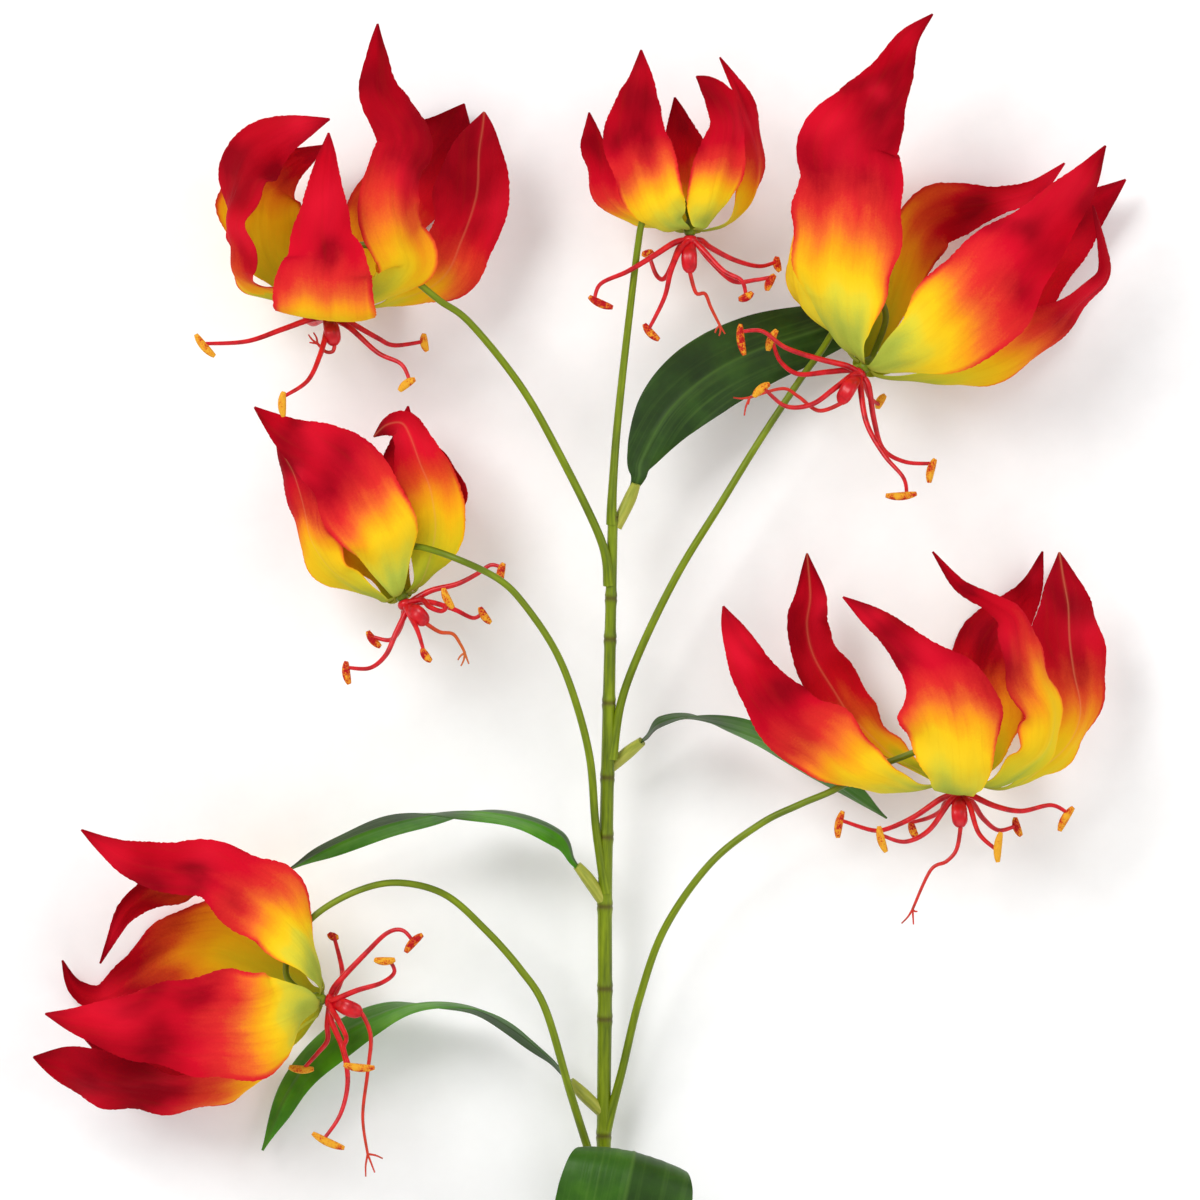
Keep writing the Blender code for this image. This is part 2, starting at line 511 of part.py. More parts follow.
def main_stem_line():
    """Centre points and radii of the main stem, swollen at its nodes."""
    count = 42
    line = route([(*place(x, y, rise), radius * MM) for x, y, rise, radius in MAIN_STEM], count)
    points, radii = line[:, :3], line[:, 3]
    for node in STEM_NODES:
        distance = (points[:, 1] - place(0, node, 0)[1]) / STEM_NODE_HALF_LENGTH
        radii = radii + STEM_NODE_RISE * np.exp(-(distance**2))
    return points, radii


def build_main_stem():
    """The main stem, and a fatter and longer copy that what grows from it is cut clear of."""
    line, radii = main_stem_line()
    tube("main_stem", "stem", line, radii, 8)
    line[0] += CLEARANCE * unit(line[0] - line[1])
    line[-1] += CLEARANCE * unit(line[-1] - line[-2])
    return hidden(tube("main_stem_clearance", "stem", line, radii + CLEARANCE, 8))


def hidden(cutter):
    cutter.hide_render = True
    cutter.display_type = "WIRE"
    return cutter


def build_surface():
    """The slab under the spray that its lowest blades are flattened against."""
    half, depth = 400 * MM, 20 * MM
    points = [(x, y, z) for x in (-half, half) for y in (-half, half) for z in (-depth, 0)]
    faces = [(0, 1, 3, 2), (4, 6, 7, 5), (0, 4, 5, 1), (2, 3, 7, 6), (0, 2, 6, 4), (1, 5, 7, 3)]
    return hidden(mesh_object("surface", points, faces, "stem"))


def bloom_axes(bloom):
    """The bloom's axis and the two directions that azimuth 0 and 90 point in."""
    axis = unit(np.array(bloom.axis))
    up = unit(np.array((0, 0, 1.0)) - axis[2] * axis)
    return axis, np.cross(up, axis), up


def outward(bloom, azimuth):
    """The direction straight out from the bloom's axis at this azimuth in degrees."""
    _, level, up = bloom_axes(bloom)
    turn = math.radians(azimuth)
    return math.cos(turn) * level + math.sin(turn) * up


def petal_stations(bloom, petal):
    """Stations of a petal's rib, from its claw at the hub to its tip."""
    axis, _, _ = bloom_axes(bloom)
    out = outward(bloom, petal.azimuth)
    claw = place(*bloom.hub) - axis * CLAW_BACK
    first_roll = petal.stations[0][3]
    points = [
        (*(claw + out * (HUB_RADIUS + CLEARANCE)), CLAW_HALF_WIDTHS[0] * MM, first_roll),
        (*(claw + out * CLAW_REACH), CLAW_HALF_WIDTHS[1] * MM, first_roll),
    ]
    shares = spaced(PETAL_REACH, len(petal.stations) + 1)[1:]
    for step, ((x, y, half_width, roll), share) in enumerate(zip(petal.stations, shares), 1):
        rise = petal.reach * share * out[2] + petal.lift * (step / len(petal.stations)) ** 2
        points.append((*place(x, y, bloom.hub[2] + rise), half_width * MM, roll))
    return points


def build_petal(number, bloom, petal, surface):
    axis, _, _ = bloom_axes(bloom)
    heading = -unit(np.array((axis[0], axis[1], 0)))
    sector = np.cross(axis, outward(bloom, petal.azimuth))
    stations = route(petal_stations(bloom, petal), PETAL_ROWS)
    name = f"bloom_{number}_petal_{petal.name}"
    made = blade(name, "petal", stations, heading, sector, petal.cup, BLADE_THICKNESS)
    if stations[:, 2].min() < RESTING_RISE:
        cut_clear(made, surface)


def build_stamen(bloom, stamen, angle):
    """A filament sunk in the dome at the bloom's heart, with its anther laid across its end."""
    axis, level, up = bloom_axes(bloom)
    root = place(*bloom.hub) + axis * 2.0 * MM + (math.cos(angle) * level + math.sin(angle) * up) * 1.3 * MM
    steps = np.linspace(0, 1, len(stamen.path) + 1)[1:]
    path = [place(x, y, bloom.hub[2] + stamen.rise * step) for (x, y), step in zip(stamen.path, steps)]
    first, last = (place(x, y, bloom.hub[2] + stamen.rise) for x, y in stamen.anther)
    share = np.clip(np.dot(path[-1] - first, last - first) / np.dot(last - first, last - first), 0.1, 0.9)
    line = route([root, *path[:-1], first + (last - first) * share], 6)
    filament = tube("filament", "stamen", line, np.linspace(FILAMENT_RADIUS, FILAMENT_TIP_RADIUS, len(line)), 4)
    rounding = ((0.0, 0.45), (0.18, 1.0), (0.82, 1.0), (1.0, 0.45))
    middle = [first + (last - first) * along for along, _ in rounding]
    anther = tube("anther", "stamen", middle, [ANTHER_RADIUS * fullness for _, fullness in rounding], 4)
    return [filament, anther]


def stamen_angles(bloom):
    """The azimuth, in radians, at which each stamen leaves the dome: they are shared out by the way they lead."""
    _, level, up = bloom_axes(bloom)
    hub = place(*bloom.hub)
    leads = []
    for stamen in bloom.stamens:
        lead = place(*stamen.path[-1], bloom.hub[2] + stamen.rise) - hub
        leads.append(math.atan2(np.dot(lead, up), np.dot(lead, level)))
    order = sorted(range(len(leads)), key=lambda k: leads[k])
    angles = [0.0] * len(leads)
    for rank, k in enumerate(order):
        angles[k] = -math.pi + 2 * math.pi * (rank + 0.5) / len(leads)
    return angles


def build_heart(number, bloom):
    """The bloom's stamens and pistil, grown together on a small dome in front of the hub."""
    axis, _, _ = bloom_axes(bloom)
    hub = place(*bloom.hub)
    rises = ((CLEARANCE, 0.9), (1.5 * MM, 1.2), (3.2 * MM, 1.05), (4.4 * MM, 0.5))
    pieces = [tube("dome", "stamen", [hub + axis * d for d, _ in rises], [HUB_RADIUS * r for _, r in rises], 6)]
    for stamen, angle in zip(bloom.stamens, stamen_angles(bloom)):
        pieces += build_stamen(bloom, stamen, angle)
    ovary, style = bloom.pistil.ovary, bloom.pistil.style
    tip_height = bloom.hub[2] + bloom.pistil.rise
    first, last = (place(*end, tip_height) for end in ovary)
    middle = [hub + axis * 3.4 * MM, first + (last - first) * 0.35, first + (last - first) * 0.8, last]
    pieces.append(tube("ovary", "stamen", middle, [OVARY_RADIUS * r for r in (0.35, 1.0, 0.9, 0.4)], 6))
    inside = first + (last - first) * 0.8
    line = route([inside, last] + [place(x, y, tip_height) for x, y in style], 7)
    pieces.append(tube("style", "stamen", line, np.linspace(STYLE_RADIUS, STIGMA_RADIUS, len(line)), 4))
    fork = line[-1] + (line[-2] - line[-1]) * 0.15
    for x, y in bloom.pistil.stigma:
        pieces.append(tube("stigma", "stamen", [fork, place(x, y, tip_height)], [STIGMA_RADIUS] * 2, 4))
    return joined(f"bloom_{number}_stamens_and_pistil", "stamen", pieces)


def build_flower_stem(number, bloom, cutter):
    """A flower stem that ends in the green hub which the bloom's petals stand round."""
    axis, _, _ = bloom_axes(bloom)
    hub = place(*bloom.hub)
    neck = hub - axis * (HUB_LENGTH + 3 * MM)
    line = route([place(*p) for p in FLOWER_STEMS[number]] + [neck], 15)
    radii = list(np.linspace(FLOWER_STEM_RADIUS, FLOWER_STEM_TIP_RADIUS, len(line)))
    line = [*line, hub - axis * HUB_LENGTH, hub]
    radii += [HUB_RADIUS, HUB_RADIUS]
    cut_clear(tube(f"flower_stem_{number}", "stem", line, radii, 6), cutter)


def build_leaf(leaf, cutter, surface):
    """A leaf blade and the pale sheath that holds it to the main stem."""
    socket = [place(*p) for p in leaf.sheath]
    sheath = tube(leaf.name + "_sheath", "sheath", socket, [r * MM for r in SHEATH_RADII], 7)
    cut_clear(sheath, cutter)
    forward = unit(socket[-1] - socket[-2])
    first_roll = leaf.stations[0][3]
    points = [(*(socket[-1] + forward * CLEARANCE), first_roll), (*(socket[-1] + forward * 3 * MM), first_roll)]
    points += [(*place(x, y, rise), roll) for x, y, rise, roll in leaf.stations]
    line = route(points, LEAF_ROWS)
    widths = np.clip(spaced(LEAF_OUTLINE, LEAF_ROWS), 0.04, 1) * leaf.half_width * MM
    stations = np.column_stack([line[:, :3], widths, line[:, 3]])
    side = leaf.side and np.array(leaf.side)
    heading = None if leaf.side else forward * (1, 1, 0)
    made = blade(leaf.name, "leaf", stations, heading, side, LEAF_CUP, LEAF_THICKNESS)
    if stations[:, 2].min() < RESTING_RISE:
        cut_clear(made, surface)


def build():
    for old in list(bpy.data.objects):
        bpy.data.objects.remove(old)
    surface = build_surface()
    cutter = build_main_stem()
    for number, bloom in BLOOMS.items():
        build_flower_stem(number, bloom, cutter)
        build_heart(number, bloom)
        for petal in bloom.petals:
            build_petal(number, bloom, petal, surface)
    for leaf in LEAVES:
        build_leaf(leaf, cutter, surface)


build()
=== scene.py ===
"""Looks of the glory lily spray: finer petals, leaves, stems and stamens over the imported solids."""

import math
from collections import namedtuple

import bpy
import numpy as np
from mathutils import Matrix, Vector


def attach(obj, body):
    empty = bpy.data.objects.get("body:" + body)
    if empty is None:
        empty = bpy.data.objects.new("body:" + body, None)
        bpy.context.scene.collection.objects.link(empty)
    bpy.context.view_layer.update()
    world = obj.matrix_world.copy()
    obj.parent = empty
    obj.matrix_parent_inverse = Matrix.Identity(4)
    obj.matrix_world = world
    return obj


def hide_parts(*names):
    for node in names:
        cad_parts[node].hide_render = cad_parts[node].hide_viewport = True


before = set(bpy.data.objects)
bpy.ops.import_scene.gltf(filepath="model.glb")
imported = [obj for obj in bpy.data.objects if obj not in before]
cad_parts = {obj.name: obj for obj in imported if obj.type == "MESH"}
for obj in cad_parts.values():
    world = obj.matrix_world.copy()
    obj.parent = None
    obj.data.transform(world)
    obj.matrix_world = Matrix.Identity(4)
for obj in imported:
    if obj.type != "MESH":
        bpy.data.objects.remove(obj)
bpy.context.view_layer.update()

MM = 0.001
PLAN_PIXEL = 0.4 * MM  # real size of one plan pixel
PLAN_PIXELS = 1200  # across the view
PLAN_ORIGIN = (583.0, 720.0)  # the plan pixel over the middle of the spray
PLAN_MIDDLE = (600.0, 600.0)  # the plan pixel that the camera looks at

Bloom = namedtuple("Bloom", "hub axis stem petals stamens pistil dark bright")
Petal = namedtuple("Petal", "name azimuth reach red_from stations lift golden pale", defaults=(0.0,) * 3)
Stamen = namedtuple("Stamen", "rise pollen path anther")
Pistil = namedtuple("Pistil", "rise orange ovary style stigma")
Leaf = namedtuple("Leaf", "name half_width sheath stations bright side", defaults=(None,))

# A place is x and y in plan pixels, and a third number is a height in millimetres above the surface.
# A bloom's stem runs from inside the main stem to the hub, which is added last.
# A petal has its azimuth about the bloom's axis in degrees (90 faces up from the surface, 270 down to it),
# its reach in millimetres, and where yellow has turned to red half-way, from 0 at the hub to 1 at the tip.
# Each station along its rib is a place, the blade's half width in millimetres and its roll about the rib in
# degrees: 0 shows the petal's outer face from above, 90 its edge, 180 its inner face. Lift raises the tip, in
# millimetres. The next value is painted shade: how much the outer face takes the deeper colour of the inner
# one. Pale is how pale the midrib is; on some petals this pale line is a painted highlight along a fold.
# A stamen has its tip's rise above the hub in millimetres, how much pollen covers the anther, the filament's
# places and the anther's two ends. A pistil has its rise, how orange its style is, the ovary's two ends, the
# style's places and the tips of the stigma.
# Dark patches are painted shade and bright patches are painted highlights on the petals: places with a radius
# in plan pixels.
UPPER_LEFT_BLOOM = Bloom(
    hub=(328, 312, 50),
    axis=(-0.05, -1.0, 0.05),
    stem=(
        (609, 585, 37), (601, 540, 41), (560, 455, 44), (520, 385, 47), (470, 323, 52), (440, 301, 54.2),
        (418, 283, 55.3), (388, 258, 54), (362, 245, 51), (336, 262, 49)),
    petals=(
        Petal("front", 96, 46, 0.37, (
            (326, 319, 11, 0), (327, 320, 19.3, 0), (327, 300, 19.8, 0), (326, 282, 18.8, 0),
            (328, 261, 15.8, 0), (326, 240, 12.4, 0), (327, 218, 10.2, 0), (327, 195, 7.6, 0),
            (330, 160, 3.8, 0), (331, 137, 0.4, 0))),
        Petal("left", 150, 42, 0.3, (
            (285, 301, 8, -60), (252, 292, 10.5, -62), (237, 273, 12.5, -70), (238, 247, 14, -70),
            (233, 220, 13, -70), (238, 192, 14, -55), (246, 168, 13.5, -30), (266, 148, 11, -5),
            (296, 132, 6.5, 0), (331, 121, 0.4, 0)), golden=0.7),
        Petal("left_back", 215, 42, 0.7, (
            (283, 290, 8, -125), (264, 262, 13, -140), (257, 215, 19, -155), (264, 180, 15, -155),
            (290, 160, 8, -150), (325, 143, 0.4, -150))),
        Petal("right_front", 45, 42, 0.43, (
            (365, 303, 6, 45), (410, 272, 14, 40), (402, 240, 14.5, 35), (394, 208, 14, 35),
            (401, 170, 14, 35), (406, 139, 11, 20), (382, 99, 8.6, 0), (378, 60, 4.5, 0),
            (379, 27, 0.4, 0)), golden=0.4),
        Petal("right", 350, 40, 0.42, (
            (385, 306, 6, 85), (440, 278, 13, 32), (464, 240, 15, 30), (474, 200, 16.5, 25),
            (477, 160, 13, 20), (482, 130, 6.5, 20), (484, 111, 0.4, 20)), golden=0.5, pale=0.35),
        Petal("back", 285, 51.8, 0.5, (
            (348, 285, 8, 170), (362, 250, 12, 175), (388, 205, 16.5, 180), (415, 165, 16, 180),
            (445, 130, 12, 180), (463, 99, 0.4, 180)), golden=0.7),
    ),
    stamens=(
        Stamen(12, 0.7, ((309, 320), (282, 330), (247, 342), (208, 342)), ((197, 335), (216, 357))),
        Stamen(28, 0.9, ((327, 331), (321, 356), (309, 382), (291, 398)), ((286, 393), (286, 418))),
        Stamen(14, 0.8, ((350, 328), (378, 353), (402, 365), (409, 381)), ((416, 380), (400, 392))),
        Stamen(-6, 0.6, ((345, 320), (376, 337), (394, 345), (424, 341)), ((424, 333), (427, 351))),
        Stamen(-26, 0.5, ((320, 320), (312, 323), (304, 318), (302, 308)), ((308, 300), (296, 314))),
        Stamen(-28, 0.5, ((336, 320), (344, 323), (352, 318), (354, 308)), ((347, 300), (360, 313))),
    ),
    pistil=Pistil(8, 0.15, ((331, 322), (335, 346)),
                  ((333, 352), (326, 352), (318, 344)), ((309, 335), (310, 343), (314, 333))),
    dark=(
        (378, 88, 16), (376, 128, 12), (412, 124, 16), (420, 158, 16), (463, 180, 22), (474, 145, 16),
        (445, 125, 22), (233, 168, 18), (268, 172, 14), (236, 200, 12), (232, 260, 12), (333, 250, 9)),
    bright=((325, 205, 20), (497, 205, 16), (398, 178, 16), (296, 128, 14), (240, 235, 12)),
)

TOP_BLOOM = Bloom(
    hub=(690, 235, 48),
    axis=(0.0, -1.0, 0.1),
    stem=(
        (612, 524, 38.8), (612, 500, 40), (616, 440, 41), (622, 380, 43), (630, 310, 47), (638, 245, 52),
        (643, 220, 55), (656, 195, 55), (672, 190, 51), (684, 202, 48)),
    petals=(
        Petal("front_left", 112, 25, 0.41, (
            (670, 224, 7, -15), (656, 205, 12, -10), (645, 172, 12.8, 0), (636, 142, 13, 0),
            (637, 105, 9, 0), (641, 80, 5, 0), (641, 52, 0.4, 0))),
        Petal("left", 182, 28, 0.43, (
            (655, 228, 5, -85), (622, 212, 8.5, -62), (603, 190, 9.5, -55), (596, 165, 9, -50),
            (591, 140, 6, -45), (589, 112, 0.4, -40))),
        Petal("back", 287, 22, 0.47, (
            (690, 217, 5, 175), (688, 185, 9, 180), (685, 150, 9, 180), (680, 120, 5, 180),
            (675, 95, 0.4, 180))),
        Petal("right_front", 50, 25, 0.42, (
            (703, 222, 5.5, 38), (710, 203, 9.5, 30), (717, 180, 11, 20), (724, 150, 9, 15),
            (727, 125, 7, 10), (718, 100, 6, 0), (706, 85, 3.5, 0), (696, 78, 0.4, 0))),
        Petal("right", 342, 28, 0.44, (
            (728, 224, 6, 90), (748, 200, 9, 70), (756, 165, 9.5, 62), (754, 130, 8, 60), (744, 95, 5, 50),
            (720, 56, 0.4, 40))),
        Petal("left_back", 233, 26, 0.45, (
            (668, 222, 4, -138), (645, 195, 9, -145), (628, 160, 9, -150), (625, 125, 6, -150),
            (632, 85, 0.4, -150))),
    ),
    stamens=(
        Stamen(10, 0.0, ((674, 243), (652, 257), (627, 272), (601, 284), (596, 296)),
               ((589, 297), (613, 308))),
        Stamen(-14, 0.2, ((679, 248), (672, 265), (664, 278), (656, 273), (649, 253)),
               ((642, 252), (653, 249))),
        Stamen(20, 0.1, ((680, 250), (671, 271), (664, 299), (651, 328)), ((644, 325), (659, 341))),
        Stamen(14, 0.1, ((703, 250), (723, 271), (741, 281), (745, 295)), ((738, 300), (752, 293))),
        Stamen(4, 0.2, ((699, 246), (711, 261), (733, 281), (756, 280), (773, 274)),
               ((775, 275), (767, 291))),
        Stamen(-16, 0.1, ((701, 240), (711, 247), (735, 259), (760, 265), (772, 261)),
               ((778, 255), (781, 270))),
    ),
    pistil=Pistil(4, 0.3, ((689, 246), (690, 273)),
                  ((696, 293), (705, 294), (711, 308), (720, 326)), ((719, 336), (725, 334), (715, 333))),
    dark=((638, 106, 16), (626, 140, 12), (674, 114, 12), (711, 102, 12), (587, 139, 12), (650, 150, 10)),
    bright=((690, 190, 10), (740, 120, 12), (660, 165, 10)),
)

UPPER_RIGHT_BLOOM = Bloom(
    hub=(862, 370, 48),
    axis=(-0.6, -0.76, 0.2),
    stem=(
        (612, 760, 30), (622, 700, 33), (645, 640, 36), (680, 570, 39), (720, 505, 42), (760, 440, 43),
        (800, 380, 41), (822, 350, 36), (840, 322, 32), (862, 299, 35), (880, 300, 40), (886, 320, 45)),
    petals=(
        Petal("upper", 125, 36, 0.38, (
            (848, 338, 9, -15), (841, 300, 17, -15), (842, 260, 21, -5), (846, 220, 22, 0),
            (848, 180, 20.5, 0), (850, 144, 20, 0), (870, 112, 15, 0), (886, 84, 10, 0), (907, 42, 4.5, 0),
            (931, 17, 0.4, 0))),
        Petal("upper_back", 193, 34, 0.7, (
            (836, 335, 4.5, -85), (804, 305, 13, -78), (792, 268, 14.5, -78), (797, 230, 13, -85),
            (818, 188, 10, -95), (850, 140, 0.4, -105))),
        Petal("middle_back", 246, 38, 0.5, (
            (888, 318, 6, -150), (905, 270, 9.5, -160), (927, 222, 12.5, -170), (962, 205, 11, -180),
            (1000, 198, 6, -180), (1038, 186, 4, -180), (1068, 160, 0.4, -180))),
        Petal("front", 62, 34, 0.41, (
            (893, 362, 8, 25), (926, 348, 16, 15), (955, 324, 20.5, 8), (985, 292, 20.5, 0),
            (1012, 260, 17, 0), (1045, 225, 11.5, 0), (1075, 190, 7.5, 0), (1103, 148, 0.4, 0))),
        Petal("right_back", 300, 46, 0.45, (
            (925, 350, 8, 150), (975, 325, 14, 160), (1020, 285, 16, 170), (1055, 245, 14, 175),
            (1090, 210, 9, 180), (1130, 176, 0.4, 180)), golden=0.5),
        Petal("lower_right", 0, 36, 0.5, (
            (905, 380, 6, 85), (955, 376, 12, 60), (1000, 362, 13, 50), (1045, 332, 12, 50),
            (1078, 304, 9, 60), (1105, 278, 5, 60), (1103, 245, 3, 50), (1093, 205, 0.4, 40)), golden=0.5),
    ),
    stamens=(
        Stamen(16, 0.15, ((847, 366), (818, 359), (785, 348), (762, 332), (746, 332)),
               ((740, 325), (744, 356))),
        Stamen(4, 0.5, ((848, 370), (827, 372), (798, 374), (780, 361), (775, 342)),
               ((777, 330), (768, 351))),
        Stamen(22, 0.6, ((853, 375), (834, 389), (811, 405), (785, 407), (767, 394)),
               ((769, 385), (753, 398))),
        Stamen(24, 0.5, ((860, 384), (866, 423), (883, 455), (902, 478), (905, 493)),
               ((884, 496), (915, 494))),
        Stamen(6, 0.5, ((868, 384), (874, 420), (883, 449), (905, 462), (931, 463)),
               ((935, 459), (929, 483))),
        Stamen(-18, 0.7, ((865, 383), (871, 397), (879, 403)), ((887, 394), (879, 408))),
    ),
    pistil=Pistil(10, 0.2, ((855, 378), (840, 404)),
                  ((818, 411), (798, 397), (782, 389), (749, 398)), ((733, 398), (748, 405), (744, 416))),
    dark=(
        (819, 178, 20), (801, 148, 12), (875, 114, 20), (900, 76, 14), (866, 190, 14), (1018, 286, 13),
        (1032, 232, 12), (975, 212, 14), (1090, 207, 14), (1060, 330, 14), (893, 140, 12)),
    bright=(
        (849, 163, 16), (825, 127, 10), (848, 215, 18), (1070, 180, 18), (1018, 199, 12), (975, 265, 16),
        (1098, 290, 10), (880, 90, 8)),
)

MIDDLE_LEFT_BLOOM = Bloom(
    hub=(403, 600, 47),
    axis=(0.38, -0.9, 0.2),
    stem=(
        (606, 895, 25), (596, 830, 30), (590, 760, 38), (575, 700, 46), (555, 650, 54), (525, 605, 62),
        (500, 580, 65), (460, 560, 67), (420, 547, 58.3), (402, 551, 54.5), (396, 566, 50)),
    petals=(
        Petal("front", 100, 29, 0.42, (
            (392, 572, 7.5, 0), (384, 540, 14.5, 0), (366, 507, 17, 0), (347, 475, 15.5, 0),
            (320, 452, 12.5, 0), (288, 434, 7, 0), (256, 408, 0.4, 0))),
        Petal("left", 172, 30, 0.58, (
            (375, 597, 7, -75), (335, 578, 12, -60), (314, 545, 13, -55), (306, 510, 12, -55),
            (292, 475, 10, -50), (276, 438, 0.4, -50)), golden=0.4, pale=0.4),
        Petal("left_back", 232, 28, 0.5, (
            (380, 580, 5, -142), (350, 548, 10.5, -150), (340, 505, 13, -155), (348, 470, 9, -155),
            (361, 446, 0.4, -155))),
        Petal("right_front", 25, 28, 0.52, (
            (424, 575, 5, 25), (435, 535, 12, 0), (433, 495, 11.8, 15), (421, 465, 10.8, 0),
            (411, 438, 7.4, 0), (402, 424, 6, 0), (386, 425, 4.2, 0),
            (373, 436, 0.4, 0)), lift=-20, golden=0.8, pale=0.4),
        Petal("back", 283, 26, 0.5, (
            (400, 565, 4.5, 160), (402, 520, 10, 165), (400, 480, 11, 175), (404, 440, 6, 180),
            (407, 405, 0.4, 180))),
        Petal("right_back", 334, 28, 0.5, (
            (422, 572, 5, 115), (445, 535, 11, 120), (450, 495, 11, 125), (440, 462, 8, 130),
            (420, 438, 0.4, 140))),
    ),
    stamens=(
        Stamen(6, 0.3, ((430, 591), (457, 584), (477, 574), (491, 565), (502, 568)),
               ((504, 563), (501, 583))),
        Stamen(18, 0.6, ((422, 600), (430, 607), (442, 611), (448, 605), (447, 596)),
               ((444, 588), (454, 608))),
        Stamen(0, 0.3, ((428, 602), (453, 609), (473, 618), (485, 611)), ((480, 607), (491, 623))),
        Stamen(16, 0.25, ((410, 615), (418, 631), (422, 647)), ((423, 648), (432, 661))),
        Stamen(-10, 0.1, ((404, 609), (400, 627), (390, 640), (374, 635)), ((367, 631), (380, 647))),
        Stamen(12, 0.05, ((406, 611), (396, 633), (386, 655), (370, 668), (351, 667)),
               ((347, 661), (350, 684))),
    ),
    pistil=Pistil(6, 0.85, ((412, 607), (427, 624)),
                  ((440, 632), (453, 634), (461, 645), (465, 653)), ((461, 666), (469, 664), (458, 660))),
    dark=((330, 489, 18), (345, 455, 16), (293, 446, 14), (286, 466, 12), (382, 438, 12), (313, 520, 12)),
    bright=((317, 436, 18), (352, 467, 14), (405, 432, 14), (425, 455, 14), (296, 478, 10)),
)

RIGHT_BLOOM = Bloom(
    hub=(958, 790, 48),
    axis=(0.0, -1.0, 0.05),
    stem=(
        (606, 1135, 15), (622, 1075, 19), (640, 1000, 26), (665, 930, 32), (710, 865, 38), (760, 825, 40),
        (800, 805, 42), (833, 791, 43), (870, 771, 44.5), (900, 758, 46.5), (930, 749, 47.5),
        (952, 760, 48)),
    petals=(
        Petal("left", 160, 42, 0.45, (
            (908, 790, 8, -60), (862, 772, 12.5, -35), (818, 742, 16.5, -22), (785, 717, 13.5, -15),
            (760, 685, 10, -10), (742, 650, 7, 0), (730, 625, 4, 0), (723, 606, 0.4, 0))),
        Petal("left_back", 215, 38, 0.38, (
            (915, 768, 5.5, -125), (880, 748, 11, -135), (852, 722, 13, -150), (834, 690, 12.5, -160),
            (815, 655, 9.5, -165), (808, 625, 8.5, -170), (811, 595, 6.5, -175),
            (808, 553, 0.4, -180)), pale=0.4),
        Petal("front", 95, 42, 0.49, (
            (958, 794, 9, 0), (956, 772, 13.5, 0), (953, 740, 18, 0), (947, 712, 20.5, 0),
            (938, 688, 17.5, 0), (921, 664, 10.5, 0), (899, 641, 7, 0), (870, 617, 4.5, 0),
            (841, 597, 0.4, 0))),
        Petal("right_front", 44, 38, 0.52, (
            (998, 784, 5.5, 45), (1035, 755, 12, 50), (1045, 715, 12.5, 50), (1034, 685, 13, 45),
            (1019, 650, 10.5, 40), (1010, 618, 7, 30), (988, 602, 4, 20), (958, 585, 2.8, 10),
            (931, 552, 0.4, 0)), golden=0.4),
        Petal("back", 285, 49.8, 0.45, (
            (980, 765, 8, 170), (995, 718, 13, 175), (986, 672, 14, 180), (1002, 632, 12, 180),
            (1032, 595, 6, 180), (1047, 551, 0.4, 180))),
        Petal("right", 350, 40, 0.53, (
            (1008, 789, 5.5, 90), (1055, 762, 12, 60), (1078, 715, 14, 45), (1077, 670, 16, 32),
            (1069, 625, 15, 25), (1065, 585, 8, 20), (1060, 552, 0.4, 20)), golden=0.6, pale=0.55),
    ),
    stamens=(
        Stamen(2, 0.35, ((941, 799), (914, 817), (887, 829), (871, 830), (845, 821)),
               ((843, 811), (838, 838))),
        Stamen(20, 0.7, ((949, 802), (928, 830), (904, 841), (885, 833)), ((878, 825), (885, 851))),
        Stamen(-24, 0.15, ((946, 804), (942, 812), (930, 819), (915, 821)), ((913, 822), (920, 841))),
        Stamen(6, 0.5, ((970, 795), (995, 806), (1021, 811), (1051, 805), (1067, 813)),
               ((1073, 807), (1059, 831))),
        Stamen(-14, 0.2, ((972, 802), (984, 819), (1000, 831), (1016, 827)), ((1017, 818), (1023, 837))),
        Stamen(22, 0.9, ((969, 805), (978, 833), (992, 850)), ((999, 831), (996, 861))),
    ),
    pistil=Pistil(8, 0.15, ((958, 802), (960, 827)),
                  ((956, 849), (946, 861), (930, 870), (912, 909)), ((901, 923), (913, 924), (917, 911))),
    dark=(
        (780, 692, 16), (796, 631, 14), (884, 632, 14), (897, 660, 12), (996, 675, 22), (972, 631, 14),
        (1029, 574, 14), (1060, 600, 14), (1074, 675, 14), (858, 602, 8), (965, 588, 8)),
    bright=(
        (735, 650, 14), (818, 605, 12), (865, 618, 12), (1091, 633, 14), (1012, 640, 14), (925, 655, 14),
        (1040, 575, 8)),
)

